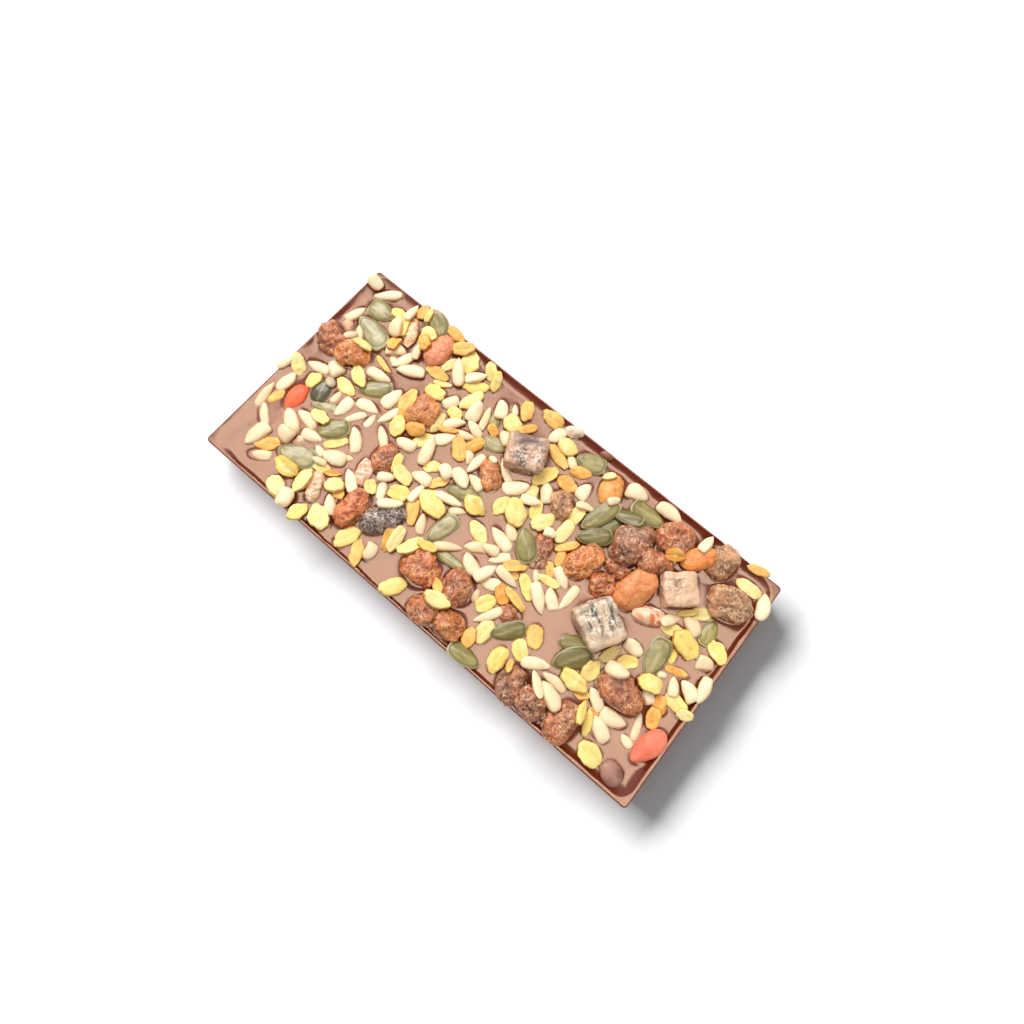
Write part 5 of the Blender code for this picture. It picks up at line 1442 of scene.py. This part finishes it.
def pumpkin_material(looks):
    """Pumpkin seeds: green by tone, painted shade in the groove, painted highlights on spine and
    rim.
    """
    wiring = MaterialWiring("pumpkin_seed", PUMPKIN_FINISH)
    tone = wiring.ramp(wiring.attribute("tone"), [
        (0.0, PUMPKIN_OLIVE), (0.35, looks.pumpkin_dark), (0.65, looks.pumpkin),
        (0.85, looks.pumpkin_pale), (1.0, PUMPKIN_YELLOW),
    ])
    return wiring.dressed(wiring.layers(
        tone,
        (wiring.patches(3.6 * MM, 3.0, 0.42, 0.62, 0.5), looks.pumpkin_dark),
        (wiring.band("ridge", 0.75, 0.1, 0.22), looks.pumpkin_dark),
        # Painted highlight along the spine, painted shade in the groove, painted highlight on the
        # rim.
        (wiring.share("spine", 0.35), PUMPKIN_SPINE_HIGHLIGHT),
        (wiring.share("groove", 0.75), PUMPKIN_GROOVE_SHADE),
        (wiring.share("edge", 0.6), PUMPKIN_RIM_HIGHLIGHT),
    ))


def fruit_material(name, colours, finish, net=None):
    """A fruit's skin, from its skin, fold, ridge and crack colours in that order.

    A net is given by its cells' size, the width of its lines as a share of that, and their
    height.
    """
    wiring = MaterialWiring(name, finish, FRUIT_REACH)
    # The ridge colour is a painted highlight, the crack colour painted shade, and the fold colour
    # painted shade and darker mottles.
    skin, fold, ridge, crack = colours
    raised = wiring.attribute("ridge")
    lines = None
    height = 0.0
    if net:
        size, width, height = net
        lines = wiring.group(web_group(), {"Vector": wiring.places, "Size": size, "Width": width})
        lines = lines.outputs["Net"]
        # The net's lines take the painted highlight too.
        raised = wiring.math("MAXIMUM", wiring.math("MULTIPLY", raised, 0.5), lines)
    group = wiring.group(skin_group(), {
        "Skin": skin, "Fold Colour": fold, "Ridge Colour": ridge, "Crack Colour": crack,
        "Ridge": raised, "Crack": wiring.attribute("crack"),
        "Fold": wiring.attribute("fold"), "Mottle": wiring.noise(4.0 * MM, 3.0),
    })
    return wiring.dressed(group.outputs["Color"], lines, height)


def sugar_material(name, colours):
    """Candied fruit under sugar: flesh with smooth facets, dark glassy hollows, pale threads."""
    flesh, hollow, thread, facet = colours
    wiring = MaterialWiring(name, SUGAR_FINISH)
    return wiring.dressed(wiring.layers(
        flesh,
        (wiring.patches(1.6 * MM, 4.0, 0.42, 0.68, 0.3), hollow),
        (wiring.attribute("facet"), facet),
        (wiring.attribute("hollow"), hollow),
        (wiring.share("thread", 0.9), thread),
    ))


def crumb_material():
    """Crumbs: one colour each, by their order, with painted shade in their folds."""
    wiring = MaterialWiring("fruit_crumb", CRUMB_FINISH)
    last = len(CRUMB_COLOURS) - 1
    stops = [(number / last, colour) for number, colour in enumerate(CRUMB_COLOURS)]
    tone = wiring.ramp(wiring.band("tone", 0.0, float(last), 1.0), stops)
    # Painted shade in the folds.
    return wiring.dressed(wiring.blend(wiring.band("fold", 0.55, 0.2, 0.4), tone, CRUMB_FOLD_SHADE))


def numbered_materials(make, name, colours, *finish):
    """One material for each set of colours, numbered from 1."""
    return [make(f"{name}_{number}", one, *finish) for number, one in enumerate(colours, 1)]


def colour_property(name, description, *default):
    """A colour slider."""
    return FloatVectorProperty(
        name=name, description=description, subtype="COLOR", size=3, min=0.0, max=1.0,
        default=srgb(*default),
    )


def power_property(name, description, default):
    """A slider for the power of a lamp."""
    return FloatProperty(
        name=name, description=description, default=default, min=0.0, unit="POWER"
    )


class ChocolateLooks(PropertyGroup):
    """How the chocolate looks."""

    brown: colour_property("Brown", "Where the milk chocolate is palest", 142, 69, 34)
    deep_brown: colour_property("Deep Brown", "Where it is darkest", 126, 57, 27)
    # Colour of the painted shade on its banks and round what is set in it.
    painted_shade_brown: colour_property("Red Brown", "On its banks and round what is set in it", 130, 44, 18)
    roughness: FloatProperty(
        name="Roughness", description="How dull its surface is", default=0.24, min=0.05, max=1.0
    )
    sheen: FloatProperty(
        name="Sheen", description="How strongly it mirrors the lamps", default=0.4, min=0.0, max=1.0
    )


class SeedLooks(PropertyGroup):
    """How the seeds and the flakes look."""

    kernel: colour_property("Kernel", "The palest sunflower kernels", 254, 231, 192)
    kernel_dark: colour_property("Dark Kernel", "Their darkest patches", 228, 182, 128)
    oat: colour_property("Oat", "The palest oat flakes", 252, 234, 170)
    oat_deep: colour_property("Deep Oat", "The deepest oat flakes", 250, 214, 114)
    toasted: colour_property("Toasted Oat", "The palest toasted flakes", 250, 209, 121)
    toasted_deep: colour_property("Deep Toasted Oat", "The deepest toasted flakes", 236, 162, 70)
    pumpkin_pale: colour_property("Pale Pumpkin Seed", "Palest seeds", 188, 175, 124)
    pumpkin: colour_property("Pumpkin Seed", "Usual green of the seeds", 160, 145, 78)
    pumpkin_dark: colour_property("Dark Pumpkin Seed", "Darkest green of the seeds", 96, 84, 36)


class StageLooks(PropertyGroup):
    """The lamps, the floor and the surrounding light."""

    key_power: power_property("Key Light", "Power of the low lamp that lights the floor", 2925.0)
    soft_power: power_property("Soft Light", "Power of the wide lamp over the bar", 16.0)
    box_power: power_property("Box Light", "Power of the small lamp that gives the glints", 4.2)
    sheen_colour: colour_property("Sheen Colour", "Tint of the mirrored panel", 255, 229, 198)
    sheen_power: power_property(
        "Sheen Light", "Power of the panel that the chocolate mirrors", 44.0
    )
    surround: FloatProperty(
        name="Surround", description="Strength of the even white light", default=0.31, min=0.0
    )
    floor: colour_property("Floor", "Colour of the pale floor", 232, 232, 233)


def put_strewn(kind, recipe, shapes, *more):
    """Make all pieces of a small kind one mesh. In the solids they are part of the slab."""
    points, values = shapes(laid_pieces()[kind], *more)
    put_piece(f"{kind}s", shell_mesh(f"{kind}s", points, values), recipe, [SLAB])


def put_fruit(kind, shapes, materials):
    """Make each piece of a kind of fruit its own mesh, in the place of its node."""
    points, values = shapes(laid_pieces()[kind])
    for number, recipe in enumerate(materials):
        one = slice(number, number + 1)
        own = {key: np.broadcast_to(grid, points.shape[:3])[one] for key, grid in values.items()}
        name = f"{kind}_{number + 1:02d}"
        mesh = shell_mesh(f"{name}_skin", points[one], own)
        put_piece(f"{name}_skin", mesh, recipe, [name])


class BAR_OT_chocolate(Operator):
    """Pour the chocolate into its shape"""

    bl_idname = "muesli_bar.chocolate"
    bl_label = "Chocolate"

    def execute(self, context):
        looks = context.scene.bar_chocolate
        put_piece("bar_chocolate", chocolate_mesh(), chocolate_material(looks), [SLAB])
        return {"FINISHED"}


class BAR_OT_kernels(Operator):
    """Strew the sunflower kernels"""

    bl_idname = "muesli_bar.kernels"
    bl_label = "Sunflower Kernels"

    def execute(self, context):
        recipe = kernel_material(context.scene.bar_seeds)
        rng = np.random.default_rng(KERNEL_SEED)
        put_strewn("sunflower_kernel", recipe, kernel_shapes, rng)
        return {"FINISHED"}


class BAR_OT_oats(Operator):
    """Strew the pale and the toasted oat flakes"""

    bl_idname = "muesli_bar.oats"
    bl_label = "Oat Flakes"

    def execute(self, context):
        looks = context.scene.bar_seeds
        kinds = (
            ("oat_flake", looks.oat, looks.oat_deep, OAT_BRAN_AND_SHADE, OAT_CREASE_DEPTH, PALE_OAT_SEED),
            ("toasted_oat_flake", looks.toasted, looks.toasted_deep, TOASTED_BRAN_AND_SHADE,
             TOASTED_CREASE_DEPTH, TOASTED_OAT_SEED),
        )
        for kind, pale, deep, crease, depth, seed in kinds:
            recipe = flake_material(kind, pale, deep, crease)
            put_strewn(kind, recipe, flake_shapes, np.random.default_rng(seed), depth)
        return {"FINISHED"}


class BAR_OT_pumpkin_seeds(Operator):
    """Strew the pumpkin seeds"""

    bl_idname = "muesli_bar.pumpkin_seeds"
    bl_label = "Pumpkin Seeds"

    def execute(self, context):
        recipe = pumpkin_material(context.scene.bar_seeds)
        rng = np.random.default_rng(PUMPKIN_SEED)
        put_strewn("pumpkin_seed", recipe, pumpkin_shapes, rng)
        return {"FINISHED"}


class BAR_OT_crumbs(Operator):
    """Strew the crumbs and the coated seed"""

    bl_idname = "muesli_bar.crumbs"
    bl_label = "Crumbs"

    def execute(self, context):
        put_strewn("fruit_crumb", crumb_material(), crumb_shapes)
        return {"FINISHED"}


class BAR_OT_raisins(Operator):
    """Wrinkle the raisins"""

    bl_idname = "muesli_bar.raisins"
    bl_label = "Raisins"

    def execute(self, context):
        made = {
            look: fruit_material(f"raisin_{look}", colours, RAISIN_FINISH, RAISIN_NET)
            for look, colours in RAISIN_COLOURS.items()
        }
        looks = [RAISIN_LOOKS.get(number, "brown") for number, _ in enumerate(RAISINS, 1)]
        put_fruit("raisin", raisin_shapes, [made[look] for look in looks])
        return {"FINISHED"}


class BAR_OT_apricots(Operator):
    """Shape the pieces of apricot"""

    bl_idname = "muesli_bar.apricots"
    bl_label = "Apricot Pieces"

    def execute(self, context):
        made = numbered_materials(
            fruit_material, "apricot", APRICOT_COLOURS, APRICOT_FINISH, APRICOT_NET
        )
        put_fruit("apricot_piece", apricot_shapes, made)
        return {"FINISHED"}


class BAR_OT_goji_berries(Operator):
    """Shape the goji berries"""

    bl_idname = "muesli_bar.goji_berries"
    bl_label = "Goji Berries"

    def execute(self, context):
        made = numbered_materials(fruit_material, "goji", GOJI_COLOURS, GOJI_FINISH)
        put_fruit("goji_berry", goji_shapes, made)
        return {"FINISHED"}


class BAR_OT_shreds(Operator):
    """Shape the shreds of dried fruit"""

    bl_idname = "muesli_bar.shreds"
    bl_label = "Fruit Shreds"

    def execute(self, context):
        made = numbered_materials(fruit_material, "fruit_shred", SHRED_COLOURS, SHRED_FINISH)
        put_fruit("fruit_shred", shred_shapes, made)
        return {"FINISHED"}


class BAR_OT_cubes(Operator):
    """Crust the candied cubes with sugar"""

    bl_idname = "muesli_bar.cubes"
    bl_label = "Candied Cubes"

    def execute(self, context):
        made = numbered_materials(sugar_material, "candied_cube", CUBE_COLOURS)
        put_fruit("candied_cube", cube_shapes, made)
        return {"FINISHED"}


def add_panel(name, place, target, sizes, power, lit):
    """A rectangular soft lamp that faces a point and lights the given objects alone."""
    lamp = bpy.data.lights.new(name, "AREA")
    lamp.shape = "RECTANGLE"
    lamp.size, lamp.size_y = sizes
    lamp.energy = power
    holder = bpy.data.objects.new(name, lamp)
    holder.location = place
    aim = Vector(target) - Vector(place)
    holder.rotation_euler = aim.to_track_quat("-Z", "Y").to_euler()
    bpy.context.scene.collection.objects.link(holder)
    receivers = bpy.data.collections.new(f"lit_by_{name}")
    for one in lit:
        receivers.objects.link(one)
    holder.light_linking.receiver_collection = receivers
    return holder


class BAR_OT_stage(Operator):
    """Set the pale floor, the soft lamps and the camera"""

    bl_idname = "muesli_bar.stage"
    bl_label = "Stage"

    def execute(self, context):
        looks = context.scene.bar_stage
        corners = [(x * FLOOR_REACH, y * FLOOR_REACH, 0)
                   for x, y in ((-1, -1), (1, -1), (1, 1), (-1, 1))]
        mesh = bpy.data.meshes.new("pale_floor")
        mesh.from_pydata(corners, [], [(0, 1, 2, 3)])
        matt = MaterialWiring("pale_floor", FLOOR_FINISH)
        matt.shader.inputs["Base Color"].default_value = (*looks.floor, 1.0)
        matt.shader.inputs["Specular IOR Level"].default_value = FLOOR_SHEEN
        mesh.materials.append(matt.material)
        floor = bpy.data.objects.new("pale_floor", mesh)
        floor.location.z = -FLOOR_GAP
        context.scene.collection.objects.link(floor)
        meshes = [piece for piece in context.scene.objects if piece.type == "MESH"]
        pieces = [piece for piece in meshes if piece != floor]
        chocolate = [piece for piece in pieces if piece.name == "bar_chocolate"]
        key = add_panel("key_light", KEY_PLACE, (0, 0, 0), KEY_SIZES, looks.key_power, [floor])
        soft = add_panel("soft_light", SOFT_PLACE, (0, 0, 0), SOFT_SIZES, looks.soft_power, pieces)
        toppings = [piece for piece in pieces if piece not in chocolate]
        box = add_panel("box_light", BOX_PLACE, (0, 0, 0), BOX_SIZES, looks.box_power, toppings)
        sheen = add_panel(
            "sheen_light", SHEEN_PLACE, SHEEN_TARGET, SHEEN_SIZES, looks.sheen_power, chocolate
        )
        sheen.data.color = looks.sheen_colour
        sheen.visible_diffuse = False
        world = bpy.data.worlds.new("even_light")
        world.use_nodes = True
        background = world.node_tree.nodes["Background"]
        background.inputs["Color"].default_value = (1.0, 1.0, 1.0, 1.0)
        background.inputs["Strength"].default_value = looks.surround
        context.scene.world = world
        context.scene.view_settings.view_transform = "Standard"
        camera = bpy.data.cameras.new("photo_camera")
        camera.lens = CAMERA_LENS
        camera.shift_x, camera.shift_y = CAMERA_SHIFT
        camera.clip_start = CAMERA_NEAREST
        holder = bpy.data.objects.new("photo_camera", camera)
        holder.location = CAMERA_PLACE
        holder.rotation_euler = [math.radians(angle) for angle in CAMERA_TURN]
        context.scene.collection.objects.link(holder)
        context.scene.camera = holder
        return {"FINISHED"}


class BAR_PT_panel(Panel):
    """The bar's pieces and their looks"""

    bl_label = "Chocolate Bar"
    bl_space_type = "VIEW_3D"
    bl_region_type = "UI"
    bl_category = "Chocolate Bar"

    def draw(self, context):
        scene = context.scene
        for looks, operators in (
            (scene.bar_chocolate, [BAR_OT_chocolate]),
            (scene.bar_seeds, [BAR_OT_kernels, BAR_OT_oats, BAR_OT_pumpkin_seeds, BAR_OT_crumbs]),
            (None, [BAR_OT_raisins, BAR_OT_apricots, BAR_OT_goji_berries, BAR_OT_shreds,
                    BAR_OT_cubes]),
            (scene.bar_stage, [BAR_OT_stage]),
        ):
            box = self.layout.box()
            if looks:
                for name in looks.__annotations__:
                    box.prop(looks, name)
            for operator in operators:
                box.operator(operator.bl_idname)


LOOKS = {"bar_chocolate": ChocolateLooks, "bar_seeds": SeedLooks, "bar_stage": StageLooks}
OPERATORS = (
    BAR_OT_chocolate, BAR_OT_kernels, BAR_OT_oats, BAR_OT_pumpkin_seeds, BAR_OT_crumbs,
    BAR_OT_raisins, BAR_OT_apricots, BAR_OT_goji_berries, BAR_OT_shreds, BAR_OT_cubes, BAR_OT_stage,
)


def register():
    """Add the sliders, the operators and the panel."""
    for name, kind in LOOKS.items():
        bpy.utils.register_class(kind)
        setattr(bpy.types.Scene, name, PointerProperty(type=kind))
    for kind in (*OPERATORS, BAR_PT_panel):
        bpy.utils.register_class(kind)


def unregister():
    """Take them away again, last first."""
    for kind in reversed((*OPERATORS, BAR_PT_panel)):
        bpy.utils.unregister_class(kind)
    for name, kind in reversed(LOOKS.items()):
        delattr(bpy.types.Scene, name)
        bpy.utils.unregister_class(kind)


def main():
    """Make every piece and the stage."""
    register()
    for operator in OPERATORS:
        getattr(bpy.ops.muesli_bar, operator.bl_idname.split(".")[1])()


if __name__ == "__main__":
    main()
